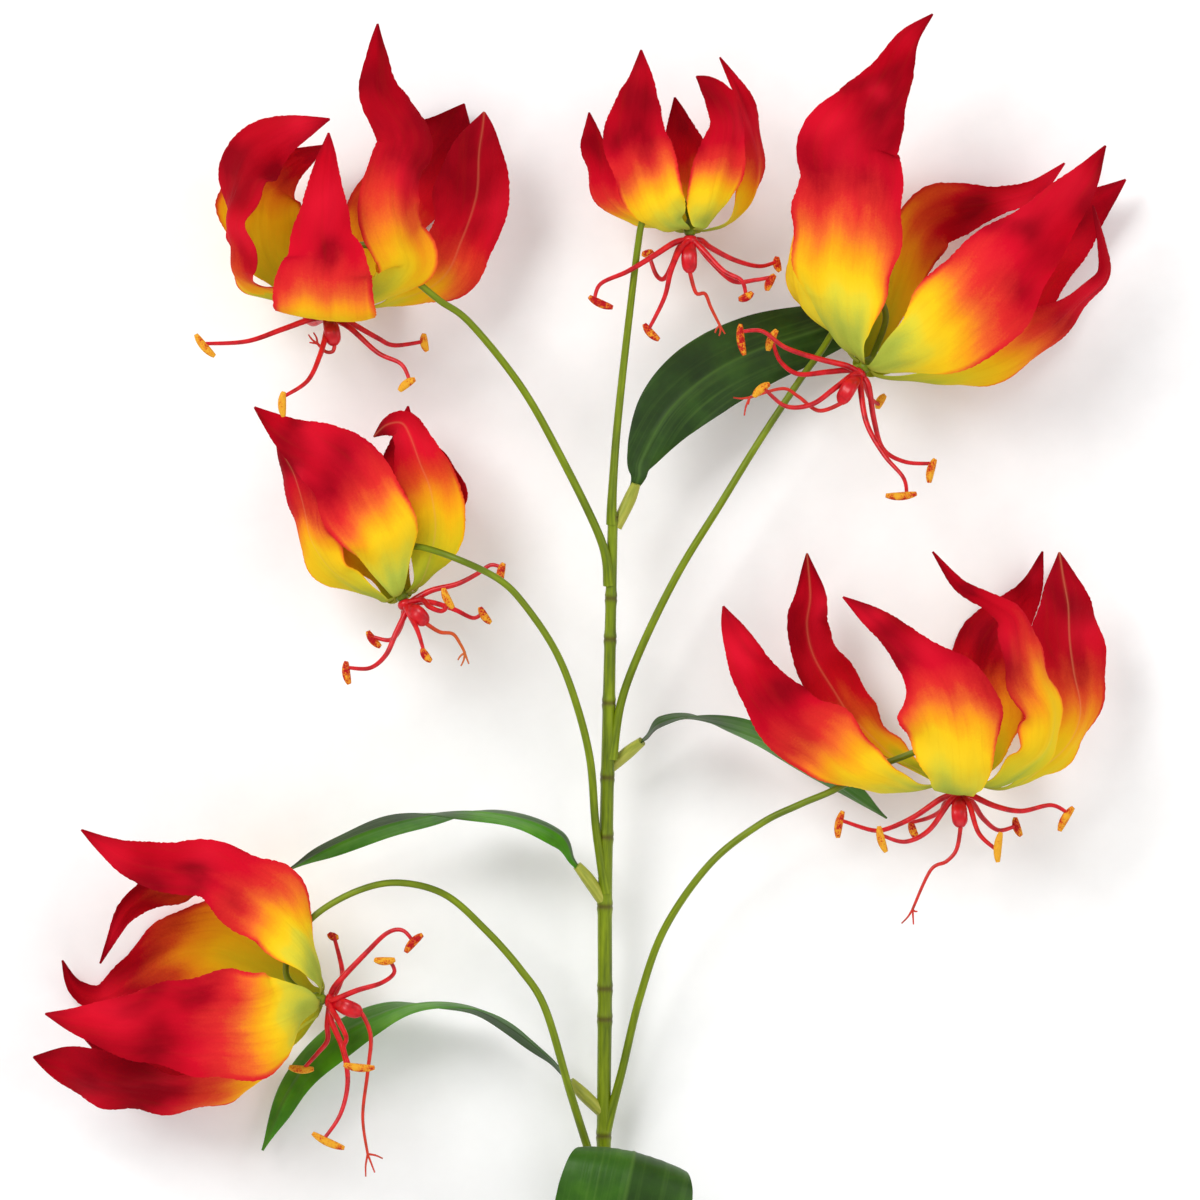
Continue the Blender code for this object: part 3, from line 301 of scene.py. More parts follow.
LOWER_LEFT_BLOOM = Bloom(
    hub=(325, 1000, 48),
    axis=(0.98, -0.15, 0.1),
    stem=(
        (604, 1210, 12), (590, 1160, 20), (570, 1095, 28), (545, 1010, 36), (520, 970, 40), (485, 930, 44),
        (445, 895, 46), (400, 883, 47), (360, 890, 48), (318, 913, 46.3), (294, 942, 46.6),
        (286, 975, 47.5)),
    petals=(
        Petal("top", 30, 40, 0.36, (
            (316, 965, 9, 60), (300, 935, 14, 40), (280, 908, 17.5, 24), (247, 888, 15.5, 15),
            (213, 869, 12, 10), (176, 866, 10.5, 10), (137, 860, 8, 0), (108, 845, 4, 0),
            (83, 829, 0.4, 0))),
        Petal("front", 110, 40, 0.36, (
            (303, 1006, 9, -10), (281, 1017, 18.5, 0), (250, 1022, 22, 0), (210, 1022, 20.5, 0),
            (165, 1022, 16.5, 0), (116, 1022, 11, 0), (80, 1017, 5.6, 0), (49, 1011, 0.4, 0))),
        Petal("top_back", 332, 38, 0.6, (
            (308, 955, 5, 110), (265, 905, 12, 120), (215, 874, 12, 130), (165, 885, 10, 140),
            (125, 912, 5, 150), (98, 965, 0.4, 150))),
        Petal("back", 281, 49.3, 0.57, (
            (306, 994, 4.8, 185), (266, 974, 14, 180), (215, 955, 20, 180), (170, 962, 16, 180),
            (130, 985, 10, 180), (95, 1003, 6, 180), (70, 992, 3.5, 180), (57, 964, 0.4, 180))),
        Petal("bottom", 178, 40, 0.4, (
            (300, 1030, 5.5, -90), (269, 1065, 10.5, -72), (230, 1086, 11.5, -52), (187, 1096, 11, -42),
            (140, 1090, 12.5, -38), (95, 1078, 13, -30), (60, 1065, 7.5, -20),
            (33, 1057, 0.4, -10)), golden=0.4),
        Petal("bottom_back", 230, 38, 0.5, (
            (295, 1035, 5.5, -145), (240, 1066, 13, -160), (185, 1070, 14, -165), (132, 1060, 12, -170),
            (82, 1042, 0.4, -170))),
    ),
    stamens=(
        Stamen(8, 0.1, ((336, 985), (366, 953), (387, 933), (403, 930), (414, 942)),
               ((423, 934), (406, 952))),
        Stamen(18, 0.6, ((333, 1000), (357, 990), (382, 982), (395, 971), (390, 959)),
               ((375, 958), (396, 958))),
        Stamen(-22, 0.1, ((339, 985), (341, 971), (328, 947)), ((327, 935), (337, 939))),
        Stamen(24, 0.6, ((332, 1009), (339, 1020), (347, 1036), (345, 1046), (351, 1058)),
               ((345, 1062), (376, 1065))),
        Stamen(-8, 0.7, ((327, 1025), (327, 1041), (317, 1054), (304, 1061)), ((288, 1068), (313, 1070))),
        Stamen(10, 0.6, ((331, 1020), (343, 1049), (348, 1081), (341, 1113), (327, 1133)),
               ((313, 1132), (345, 1147))),
    ),
    pistil=Pistil(6, 0.25, ((337, 1003), (362, 1013)),
                  ((371, 1036), (368, 1071), (363, 1116), (368, 1154)),
                  ((383, 1158), (375, 1172), (366, 1176))),
    dark=(
        (151, 884, 18), (197, 876, 14), (239, 903, 14), (208, 984, 20), (163, 1041, 20), (147, 969, 22),
        (125, 1072, 24), (140, 1105, 18), (85, 1080, 14), (180, 930, 14)),
    bright=(
        (115, 853, 16), (210, 856, 16), (117, 1012, 20), (231, 1036, 20), (270, 905, 14), (90, 1095, 14),
        (170, 1108, 10), (105, 925, 12)),
)

BLOOMS = (
    UPPER_LEFT_BLOOM, TOP_BLOOM, UPPER_RIGHT_BLOOM, MIDDLE_LEFT_BLOOM, RIGHT_BLOOM, LOWER_LEFT_BLOOM,
)

# The main stem from its cut end up to where the top bloom's stem leaves it: place, height, and radius in mm.
MAIN_STEM = (
    (606, 1420, 4, 3.0), (604, 1200, 12, 2.9), (604, 1100, 16, 2.8), (605, 1000, 20, 2.9),
    (605, 900, 24, 2.9), (607, 800, 28, 2.7), (609, 700, 32, 2.5), (611, 600, 36, 2.2), (613, 513, 39, 2.0),
)
STEM_NODES = (1375, 1300, 1215, 1140, 1022, 991, 908, 838, 778, 703, 639, 598, 517)  # plan y of each ring

# A leaf has its half width in millimetres, the three points of its sheath, and the stations along its rib:
# place with height, and roll. Then comes how bright its green is: shares of its length, and the brightness
# at each of them on its right and left halves. This brightness is partly the green of each face and partly
# painted light and shade on its folded halves. The bottom leaf stands up and folds over, so its width runs
# along one given side instead.
LEAVES = (
    Leaf("leaf_top", 15.5, ((616, 527, 37), (629, 500, 37), (636, 483, 39)), (
        (642, 458, 39, 20), (668, 412, 37, 5), (707, 376, 33, 0), (755, 350, 28, 0), (805, 333, 22, 0),
        (860, 316, 16, 0), (906, 306, 12, 0)),
        ((0, 1), (0.0, 0.0), (0.04, 0.04))),
    Leaf("leaf_right", 12, ((611, 768, 25), (628, 753, 26.5), (642, 742, 30)), (
        (660, 724, 36, 105), (690, 718, 37, 95), (730, 728, 36, 78), (780, 748, 32, 68), (830, 778, 26, 66),
        (889, 820, 18, 60)),
        ((0, 0.3, 0.5, 1), (0.0, 0.1, 0.9, 0.3), (0.0, 0.3, 1.0, 0.3))),
    Leaf("leaf_left", 12.5, ((604, 905, 24), (589, 882, 27), (577, 867, 29)), (
        (560, 838, 33, 62), (520, 820, 36, 75), (465, 813, 37, 86), (404, 821, 34, 106),
        (345, 841, 27, 111), (282, 874, 18, 105)),
        ((0, 0.35, 0.45, 1), (1.0, 0.9, 0.1, 0.0), (0.2, 0.3, 0.9, 0.9))),
    Leaf("leaf_lower_left", 12, ((603, 1118, 15), (585, 1100, 18), (570, 1085, 20)), (
        (548, 1060, 23, 105), (510, 1030, 25, 106), (470, 1010, 27, 98), (425, 1006, 27, 88),
        (380, 1018, 24, 60), (330, 1046, 19, 36), (290, 1092, 13, 28), (259, 1156, 9, 0)),
        ((0, 0.25, 0.45, 1), (0.1, 0.5, 1.0, 1.0), (0.1, 0.1, 0.7, 1.0))),
    Leaf("leaf_bottom", 27, ((604, 1232, 12), (612, 1215, 18), (618, 1203, 24)), (
        (628, 1172, 38, 0), (634, 1152, 54, 0), (630, 1172, 67, 0), (616, 1235, 64, 0), (600, 1300, 42, 0),
        (577, 1360, 14, 0), (562, 1396, 0.2, 0)),
        ((0, 1), (0.1, 0.1), (0.3, 0.3)), side=(1.0, -0.25, 0.0)),
)


# Places and curves

FINE_STEPS = 40  # of a curve between two of its stations, where distances along it are measured
HEADING_SHARE = 0.6  # how much a blade's heading as a whole counts against its direction in each row
SIDE_TURN = 0.2  # the share of a petal over which its width turns from its sector to its roll


def place(x, y, rise):
    """The point seen at plan pixel x, y, at that height in millimetres above the surface."""
    return np.array(((x - PLAN_ORIGIN[0]) * PLAN_PIXEL, (PLAN_ORIGIN[1] - y) * PLAN_PIXEL, rise * MM))


def unit(vector):
    return vector / np.linalg.norm(vector)


def between(first, last, share):
    return first + (last - first) * share


def smooth_step(values, low, high):
    share = np.clip((values - low) / (high - low), 0, 1)
    return share * share * (3 - 2 * share)


def ridge(distance, half_width):
    """1 at no distance, and soon nothing beyond the half width."""
    return np.exp(-((distance / half_width) ** 2))


def spaced(values, count):
    """Values at even steps, read at count even steps with smooth passages between them."""
    values = np.asarray(values, float)
    where = np.linspace(0, len(values) - 1, count)
    first = np.minimum(where.astype(int), len(values) - 2)
    share = where - first
    ends = [np.clip(first + k, 0, len(values) - 1) for k in (-1, 0, 1, 2)]
    before, start, stop, after = (values[k] for k in ends)
    if values.ndim > 1:
        share = share[:, None]
    return 0.5 * (
        2 * start
        + (stop - before) * share
        + (2 * before - 5 * start + 4 * stop - after) * share**2
        + (3 * start - before - 3 * stop + after) * share**3
    )


def run_of(points):
    """The distance from the first of a row of points to each of them, along the row."""
    return np.concatenate([[0], np.cumsum(np.linalg.norm(np.diff(points, axis=0), axis=1))])


def route(stations, count):
    """Stations at even distances along a smooth curve; any values after x, y and z are carried along."""
    fine = spaced(stations, FINE_STEPS * len(stations))
    run = run_of(fine[:, :3])
    wanted = np.linspace(0, run[-1], count)
    return np.stack([np.interp(wanted, run, column) for column in fine.T], axis=1)


def directions(points):
    """Unit tangents of a row of points."""
    return np.array([unit(t) for t in np.gradient(points, axis=0)])


def settled(values, passes):
    """Values along a row, smoothed by that many passes."""
    for _ in range(passes):
        values[1:-1] = (values[:-2] + 2 * values[1:-1] + values[2:]) / 4
    return values


def sides_of(along, rolls, heading, first_side):
    """The direction of a blade's width in each row, given its tangents and its rolls in degrees.

    Roll 0 lies level, with the outer face up. A petal starts with its width along first_side, in its own
    sector of the bloom, and soon turns to its roll. With no heading the width keeps to first_side throughout.
    """
    sides = []
    for share, forward, roll in zip(np.linspace(0, 1, len(along)), along, np.radians(rolls)):
        side = first_side
        if heading is not None:
            ahead = np.array((forward[0], forward[1], 0)) + HEADING_SHARE * heading
            level = np.cross((0, 0, 1), ahead)
            level = unit(level - np.dot(level, forward) * forward)
            side = math.cos(roll) * level + math.sin(roll) * np.cross(forward, level)
            if first_side is not None:
                turned = min(share / SIDE_TURN, 1)
                side = unit(turned * side + (1 - turned) * first_side)
        sides.append(unit(side - np.dot(side, forward) * forward))
    return np.array(sides)


def bloom_axes(bloom):
    """The bloom's axis and the two directions that azimuth 0 and 90 point in."""
    axis = unit(np.array(bloom.axis))
    up = unit(np.array((0, 0, 1.0)) - axis[2] * axis)
    return axis, np.cross(up, axis), up


def outward(bloom, turn):
    """The direction straight out from the bloom's axis at this azimuth in radians."""
    _, level, up = bloom_axes(bloom)
    return math.cos(turn) * level + math.sin(turn) * up


# Meshes

SHARP_ANGLE = math.radians(55)  # edges sharper than this stay sharp in the shading
EDGE_THICKNESS = 0.22 * MM
MIDRIB_CROWDING = 1.3  # above 1, the columns of points are closer together near the midrib
START_GUIDE = (0.3, 0.2, 0.93)  # no tube starts in this direction


def dressed(name, points, faces, finish, node, attributes):
    """A smooth mesh object that stands for a node. Attributes hold one value or vector for each point."""
    mesh = bpy.data.meshes.new(name)
    mesh.from_pydata([tuple(p) for p in points], [], faces)
    mesh.update()
    mesh.shade_smooth()
    mesh.set_sharp_from_angle(angle=SHARP_ANGLE)
    for key, values in attributes.items():
        values = np.asarray(values, np.float32)
        kind, field = ("FLOAT_VECTOR", "vector") if values.ndim == 2 else ("FLOAT", "value")
        mesh.attributes.new(key, kind, "POINT").data.foreach_set(field, values.reshape(-1))
    mesh.materials.append(finish)
    made = bpy.data.objects.new(name, mesh)
    bpy.context.scene.collection.objects.link(made)
    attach(made, "root")
    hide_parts(node)


def shell_faces(rows, columns):
    """Quads of a thin shell whose first rows x columns points are its inner face, and the next its outer."""
    under = rows * columns
    faces = []
    for i in range(rows - 1):
        for j in range(columns - 1):
            a = i * columns + j
            quad = (a, a + 1, a + 1 + columns, a + columns)
            faces.append(quad)
            faces.append(tuple(k + under for k in reversed(quad)))
    rim = list(range(columns))
    rim += [i * columns + columns - 1 for i in range(1, rows)]
    rim += [(rows - 1) * columns + j for j in range(columns - 2, -1, -1)]
    rim += [i * columns for i in range(rows - 2, 0, -1)]
    for a, b in zip(rim, rim[1:] + rim[:1]):
        faces.append((b, a, a + under, b + under))
    return faces


def sheet_normals(sheet):
    """Unit normals of a grid of points, towards its inner face."""
    normals = np.cross(np.gradient(sheet, axis=1), np.gradient(sheet, axis=0))
    return normals / np.linalg.norm(normals, axis=2, keepdims=True)


def crowded(columns):
    """Places across a blade, from -1 to 1, closer together near its midrib."""
    even = np.linspace(-1, 1, columns)
    return np.sign(even) * np.abs(even) ** MIDRIB_CROWDING


def shell(name, sheet, thickness, finish, node, attributes, golden=0.0):
    """A closed thin shell round a grid of points, thinner at its long edges. Attributes are grids too."""
    rows, columns = sheet.shape[:2]
    half = (EDGE_THICKNESS + (thickness - EDGE_THICKNESS) * (1 - crowded(columns) ** 4)) / 2
    offset = sheet_normals(sheet) * half[None, :, None]
    points = np.concatenate([(sheet + offset).reshape(-1, 3), (sheet - offset).reshape(-1, 3)])
    flat = {key: grid.reshape(rows * columns, *grid.shape[2:]) for key, grid in attributes.items()}
    both = {key: np.concatenate([values, values]) for key, values in flat.items()}
    # Outer faces get the petal's painted shade here, as a share of the inner colours.
    both["inner"] = np.repeat((1.0, golden), rows * columns)
    dressed(name, points, shell_faces(rows, columns), finish, node, both)


def ring_points(points, radii, sides, lobes, lobe_depth):
    """Lobed rings of points round a line, each turned as little as possible from the last."""
    along = directions(points)
    level = unit(np.cross(along[0], START_GUIDE))
    turns = 2 * math.pi * np.arange(sides) / sides
    swell = 1 + lobe_depth * np.cos(lobes * turns)
    rings = []
    for point, forward, radius in zip(points, along, radii):
        level = unit(level - np.dot(level, forward) * forward)
        upright = np.cross(forward, level)
        ring = np.cos(turns)[:, None] * level + np.sin(turns)[:, None] * upright
        rings.append(point + radius * swell[:, None] * ring)
    return np.concatenate(rings)


def ring_faces(rings, sides, start):
    """Quads between the rings of a tube, with a closed end at each end of it."""
    faces = []
    for i in range(rings - 1):
        for k in range(sides):
            a, b = start + i * sides + k, start + i * sides + (k + 1) % sides
            faces.append((a, b, b + sides, a + sides))
    last = start + (rings - 1) * sides
    faces.append(tuple(start + k for k in reversed(range(sides))))
    faces.append(tuple(last + k for k in range(sides)))
    return faces


class Tubes:
    """Gathers tubes into one mesh. Cloth places are the point on the ring and the distance along the tube."""

    def __init__(self):
        self.points, self.faces, self.cloth, self.shade = [], [], [], []
        self.count = 0

    def add(self, points, radii, sides, shade=0.0, lobes=0, lobe_depth=0.0):
        self.points.append(ring_points(points, radii, sides, lobes, lobe_depth))
        self.faces += ring_faces(len(points), sides, self.count)
        turn = 2 * math.pi * np.tile(np.arange(sides) / sides, len(points))
        run, width = (np.repeat(values, sides) for values in (run_of(points), radii))
        shift = 0.05 * (self.count % 97)  # gives each tube another stretch of the grain
        self.cloth.append(np.stack([np.cos(turn) * width, np.sin(turn) * width + shift, run], axis=1))
        self.shade.append(np.repeat(np.broadcast_to(shade, len(points)), sides))
        self.count += len(run)

    def finish(self, name, finish, slot, node):
        attributes = {"cloth": np.concatenate(self.cloth), "shade": np.concatenate(self.shade)}
        dressed(name, np.concatenate(self.points), self.faces, finish, node, attributes)


# Finishes

def linear(code):
    """A colour written as in a web page, in the linear values that a shader takes."""
    parts = [int(code[k:k + 2], 16) / 255 for k in (0, 2, 4)]
    return tuple(p / 12.92 if p <= 0.04045 else ((p + 0.055) / 1.055) ** 2.4 for p in parts) + (1.0,)


class Finish:
    """A material in the making. Most methods add nodes and return the output that they lead to."""

    def __init__(self, name, roughness, specular):
        self.made = bpy.data.materials.new(name)
        self.made.use_nodes = True
        self.tree = self.made.node_tree
        self.shader = self.tree.nodes["Principled BSDF"]
        self.shader.inputs["Roughness"].default_value = roughness
        self.shader.inputs["Specular IOR Level"].default_value = specular

    def feed(self, socket, value):
        """Links an output to the socket, or sets a plain value there."""
        if isinstance(value, bpy.types.NodeSocket):
            self.tree.links.new(value, socket)
        else:
            socket.default_value = value

    def node(self, kind, inputs, output=0, **settings):
        made = self.tree.nodes.new(kind)
        for key, value in settings.items():
            setattr(made, key, value)
        for key, value in inputs.items():
            self.feed(made.inputs[key], value)
        return made.outputs[output]

    def attribute(self, name, output="Fac"):
        return self.node("ShaderNodeAttribute", {}, output, attribute_name=name)

    def math(self, operation, first, second, third=0.0):
        return self.node("ShaderNodeMath", {0: first, 1: second, 2: third}, operation=operation)

    def times(self, first, second):
        return self.math("MULTIPLY", first, second)

    def times_plus(self, first, second, third):
        """First times second, plus third."""
        return self.math("MULTIPLY_ADD", first, second, third)

    def within(self, value, low, high):
        """0 up to low, 1 from high on, and in between by how far the value has come."""
        return self.node("ShaderNodeMapRange", {"Value": value, "From Min": low, "From Max": high})

    def noise(self, vector, scale, detail=3.0, roughness=0.55, stretch=None):
        """Noise with scale cells to the metre, and fewer along a direction whose stretch is below 1."""
        if stretch:
            vector = self.node("ShaderNodeVectorMath", {0: vector, 1: stretch}, operation="MULTIPLY")
        inputs = {"Vector": vector, "Scale": scale, "Detail": detail, "Roughness": roughness}
        return self.node("ShaderNodeTexNoise", inputs)

    def threads(self, vector, direction, scale):
        inputs = {"Vector": vector, "Scale": scale, "Distortion": 0.0, "Detail": 1.0}
        return self.node("ShaderNodeTexWave", inputs, "Fac", bands_direction=direction)

    def ramp(self, value, stops):
        """Colours along a value: stops are pairs of a place from 0 to 1 and a colour code."""
        made = self.tree.nodes.new("ShaderNodeValToRGB")
        band = made.color_ramp
        band.elements[1].position = stops[-1][0]
        band.elements[0].position = stops[0][0]
        for where, _ in stops[1:-1]:
            band.elements.new(where)
        for element, (_, code) in zip(band.elements, stops):
            element.color = linear(code)
        self.feed(made.inputs["Fac"], value)
        return made.outputs["Color"]

    def mix(self, share, first, second):
        made = self.tree.nodes.new("ShaderNodeMix")
        made.data_type = "RGBA"
        for number, value in ((0, share), (6, first), (7, second)):
            self.feed(made.inputs[number], value)
        return made.outputs[2]

    def tint(self, colour, share, code):
        """The colour, turned towards the colour of a code by that share."""
        return self.mix(share, colour, linear(code))

    def bump(self, height, distance, strength, under=None):
        """Relief of that depth in metres, on top of another one where given."""
        inputs = {"Height": height, "Distance": distance, "Strength": strength}
        if under is not None:
            inputs["Normal"] = under
        return self.node("ShaderNodeBump", inputs)

    def finish(self, colour, normal):
        self.feed(self.shader.inputs["Base Color"], colour)
        self.feed(self.shader.inputs["Normal"], normal)
        return self.made


def silk_finish():
    """Dyed flower silk: its colour turns along the petal, with soft streaks, a weave and darker clouds,
    painted shade in deep folds and dark patches, and painted highlights in bright patches.
    """
    silk = Finish("petal_silk", 0.75, 0.04)
    cloth = silk.attribute("cloth", "Vector")
    clouds = silk.noise(cloth, 38.0, 1.0, 0.4, (1.0, 0.5, 1.0))
    glow = silk.noise(cloth, 55.0, 2.0, 0.5, (1.0, 0.6, 1.0))
    patches = silk.noise(cloth, 150.0, 2.0, stretch=(1.0, 0.4, 1.0))
    streaks = silk.noise(cloth, 520.0, 3.0, 0.6, (1.0, 0.05, 1.0))
    grain = silk.noise(cloth, 1400.0, 2.0, 0.7)
    dye = silk.attribute("dye")
    for pattern, depth in ((patches, 0.08), (grain, 0.05), (streaks, 0.03)):
        dye = silk.times_plus(pattern, depth, silk.math("SUBTRACT", dye, depth / 2))
    outer = silk.ramp(dye, (
        (0.0, "98A83C"), (0.08, "B4BE46"), (0.17, "DED038"), (0.27, "F2CE26"), (0.38, "F8C81C"),
        (0.46, "F7A01C"), (0.53, "EE6C2A"), (0.6, "E0302A"), (0.68, "CE0A24"), (0.84, "B80016"),
        (0.95, "960010"), (1.0, "70000C")))
    # The inner face's colours are deeper: partly its own colour and partly painted shade.
    inner = silk.ramp(dye, (
        (0.0, "8EA024"), (0.16, "B8B41C"), (0.28, "D8B818"), (0.38, "EAB012"), (0.48, "E88E16"),
        (0.57, "DA501C"), (0.66, "C40C1A"), (0.86, "A60014"), (1.0, "70000C")))
    # The inner value is 1 on inner faces; on outer faces it is the petal's painted shade.
    colour = silk.mix(silk.attribute("inner"), outer, inner)
    red = silk.within(dye, 0.5, 0.72)
    # A lighter red in soft clouds, and painted highlights in the bloom's bright patches.
    bright = silk.times_plus(silk.within(glow, 0.45, 0.75), 0.3, silk.times(silk.attribute("glow"), 0.5))
    colour = silk.tint(colour, silk.times(bright, red), "EA1A34")
    # Painted shade: a darker red in deep folds and under the bloom's dark patches, mottled, with darker
    # clouds as well.
    dark = silk.times(silk.attribute("depth"), silk.times_plus(patches, 1.0, 0.4))
    dark = silk.times_plus(silk.within(clouds, 0.42, 0.75), 0.25, silk.times(dark, 0.78))
    dark = silk.node("ShaderNodeClamp", {"Value": dark, "Max": 0.75})
    colour = silk.tint(colour, silk.times(dark, red), "74000E")
    colour = silk.tint(colour, silk.times(silk.within(streaks, 0.52, 0.75), 0.09), "8A3408")
    # A pale midrib line; on some petals it is a painted highlight along a fold.
    colour = silk.tint(colour, silk.times(silk.attribute("midrib"), 0.55), "EE9A6A")
    weave = silk.math("ADD", silk.threads(cloth, "Y", 900.0), silk.threads(cloth, "X", 900.0))
    normal = silk.bump(weave, 0.04 * MM, 0.4)
    normal = silk.bump(streaks, 0.3 * MM, 0.35, normal)
    return silk.finish(colour, silk.bump(patches, 1.4 * MM, 0.5, normal))


def leaf_finish():
    """Coated leaf fabric: dark green, or bright green where the mesh is bright, partly painted light and
    shade, with fine parallel veins.
    """
    leaf = Finish("leaf_cloth", 0.45, 0.25)
    cloth = leaf.attribute("cloth", "Vector")
    patches = leaf.noise(cloth, 70.0)
    dark = leaf.ramp(patches, ((0.25, "172C06"), (0.5, "203A08"), (0.75, "2B4C0E")))
    bright_green = leaf.ramp(patches, ((0.25, "357004"), (0.5, "458A06"), (0.75, "5A9C10")))
    colour = leaf.mix(leaf.attribute("bright"), dark, bright_green)
    veins = leaf.noise(cloth, 620.0, 2.0, 0.5, (1.0, 0.02, 1.0))
    colour = leaf.tint(colour, leaf.times(leaf.within(veins, 0.5, 0.75), 0.22), "5C8030")
    colour = leaf.tint(colour, leaf.times(leaf.attribute("midrib"), 0.5), "4F7228")
    normal = leaf.bump(veins, 0.3 * MM, 0.6)
    normal = leaf.bump(patches, 1.5 * MM, 0.25, normal)
    return leaf.finish(colour, leaf.bump(leaf.noise(cloth, 2500.0, 1.0), 0.04 * MM, 0.4, normal))


def stem_finish(name, old, middle, young, seam):
    """Moulded stem plastic with lengthwise streaks, and brown paint where the shade of the mesh is high."""
    stem = Finish(name, 0.42, 0.28)
    cloth = stem.attribute("cloth", "Vector")
    streaks = stem.noise(cloth, 900.0, 3.0, 0.6, (1.0, 1.0, 0.06))
    patches = stem.noise(cloth, 120.0, stretch=(1.0, 1.0, 0.35))
    age = stem.math("ADD", stem.times(streaks, 0.45), stem.times(patches, 0.55))
    colour = stem.ramp(age, ((0.36, old), (0.5, middle), (0.64, young)))
    colour = stem.tint(colour, stem.attribute("shade"), seam)
    return stem.finish(colour, stem.bump(patches, 0.6 * MM, 0.3, stem.bump(streaks, 0.3 * MM, 0.5)))


def stamen_finish():
    """Glossy red plastic, darker and lighter in patches, and orange where the shade of the mesh is high."""
    red = Finish("stamen_red", 0.3, 0.35)
    patches = red.noise(red.attribute("cloth", "Vector"), 260.0)
    colour = red.ramp(patches, ((0.3, "9E0612"), (0.5, "C80A1A"), (0.72, "D81A20")))
    colour = red.tint(colour, red.attribute("shade"), "C0641A")
    return red.finish(colour, red.bump(patches, 0.5 * MM, 0.4))


def anther_finish():
    """Red plastic anthers with rough orange pollen, more of it where the shade of the mesh is high."""
    pollen = Finish("anther_pollen", 0.6, 0.15)
    cloth = pollen.attribute("cloth", "Vector")
    grains = pollen.node("ShaderNodeTexVoronoi", {"Vector": cloth, "Scale": 1500.0}, "Distance")
    cover = pollen.times_plus(grains, 0.3, pollen.noise(cloth, 420.0))
    cover = pollen.times_plus(pollen.attribute("shade"), 0.34, cover)
    colour = pollen.ramp(cover, ((0.62, "B00A16"), (0.72, "C8401A"), (0.8, "DC801C"), (0.94, "E8A62A")))
    return pollen.finish(colour, pollen.bump(grains, 0.4 * MM, 0.8))


def floor_finish():
    """A pale matt studio floor with a barely seen grain."""
    floor = Finish("studio_floor", 0.9, 0.1)
    grain = floor.noise(floor.node("ShaderNodeTexCoord", {}, "Object"), 60.0)
    colour = floor.ramp(grain, ((0.3, "FBFBFB"), (0.7, "FFFFFF")))
    return floor.finish(colour, floor.bump(grain, 0.2 * MM, 0.1))


# Petals

PETAL_THICKNESS = 0.5 * MM
PETAL_ROWS, PETAL_COLUMNS = 150, 21
MIN_HALF_WIDTH = 0.35 * MM
HUB_RADIUS = 2.5 * MM
CLAW_HALF_WIDTHS = (1.15, 2.6)  # in millimetres, at the hub and where the claw has left it
CLAW_BACK = 2.0 * MM
CLAW_REACH = 7.0 * MM
CLEARANCE = 0.35 * MM
PETAL_REACH = (0.0, 0.58, 0.9, 1.0, 0.94, 0.78)  # shares of a petal's reach at even steps along it
PETAL_CUP = 0.18  # the depth of a petal's section as a share of its half width
ROOF_SHARE = 0.55  # how far a petal's section is a roof along its midrib, and not a round arch
ROOF_ROUNDING = 0.1
RUFFLE_LENGTHS = (0.020, 0.034)  # metres from one ruffle of an edge to the next
RUFFLE_DEPTH = 1.5 * MM
LONG_RUFFLE_SHARE = 0.4  # the depth of ruffles twice as long, as a share of the short ones'
RUFFLED_HALF_WIDTH = 12 * MM  # a petal less wide than this has shallower folds
EDGE_SWING = 0.04  # the share of the half width by which a petal sways to its two sides
WAVE_LENGTHS = (0.040, 0.065)
WAVE_DEPTH = 1.5 * MM
PLEAT_LENGTHS = (0.12, 0.2)
PLEAT_DEPTH = 0.8 * MM
CREASE_DEPTH = 0.28 * MM
CREASE_HALF_WIDTH = 0.8 * MM
PETAL_VEINS = 7  # on each half
VEIN_DEPTH = 0.06 * MM
FRAY = 0.2 * MM  # how far the cut edge of the silk strays
DEEP_FOLD = (0.6 * MM, 2.6 * MM)  # where painted shade starts in a fold, and where that shade is darkest
# How dark the painted shade is in the deepest folds.
FOLD_DARKNESS = 0.5
MIDRIB_HALF_WIDTH = 0.35 * MM
DYE_LEVELS = (0.0, 0.05, 0.2, 0.37, 0.56, 0.7, 0.86, 0.97)  # green, up to yellow, up to red, up to dark red
DYE_STRAY = 0.05  # how far the dye's edge bends and leans across a petal, as a share of its length
RIM_DYE = 0.14  # how much further the dye has come at the edges of the yellow part
PATCH_STRAY, PATCH_STRAY_LENGTH = 5.0, 11.0  # in plan pixels: how far and how often a patch's edge strays
PATCH_SOFTNESS = 1.45  # in radii of a patch
PATCH_STRENGTH = 0.9


def petal_stations(bloom, petal):
    """Stations of a petal's rib, from its claw at the hub to its tip."""
    axis, _, _ = bloom_axes(bloom)
    out = outward(bloom, math.radians(petal.azimuth))
    claw = place(*bloom.hub) - axis * CLAW_BACK
    first_roll = petal.stations[0][3]
    points = [
        (*(claw + out * reach), half_width * MM, first_roll)
        for reach, half_width in zip((HUB_RADIUS + CLEARANCE, CLAW_REACH), CLAW_HALF_WIDTHS)
    ]
    shares = spaced(PETAL_REACH, len(petal.stations) + 1)[1:]
    for step, ((x, y, half_width, roll), share) in enumerate(zip(petal.stations, shares), 1):
        rise = petal.reach * share * out[2] + petal.lift * (step / len(petal.stations)) ** 2
        points.append((*place(x, y, bloom.hub[2] + rise), half_width * MM, roll))
    return points


def ripple(run, lengths, random, latest_start=2 * math.pi):
    """A sine along the run, with its length drawn between the two given and its start drawn too."""
    return np.sin(2 * math.pi * run / random.uniform(*lengths) + random.uniform(0, latest_start))


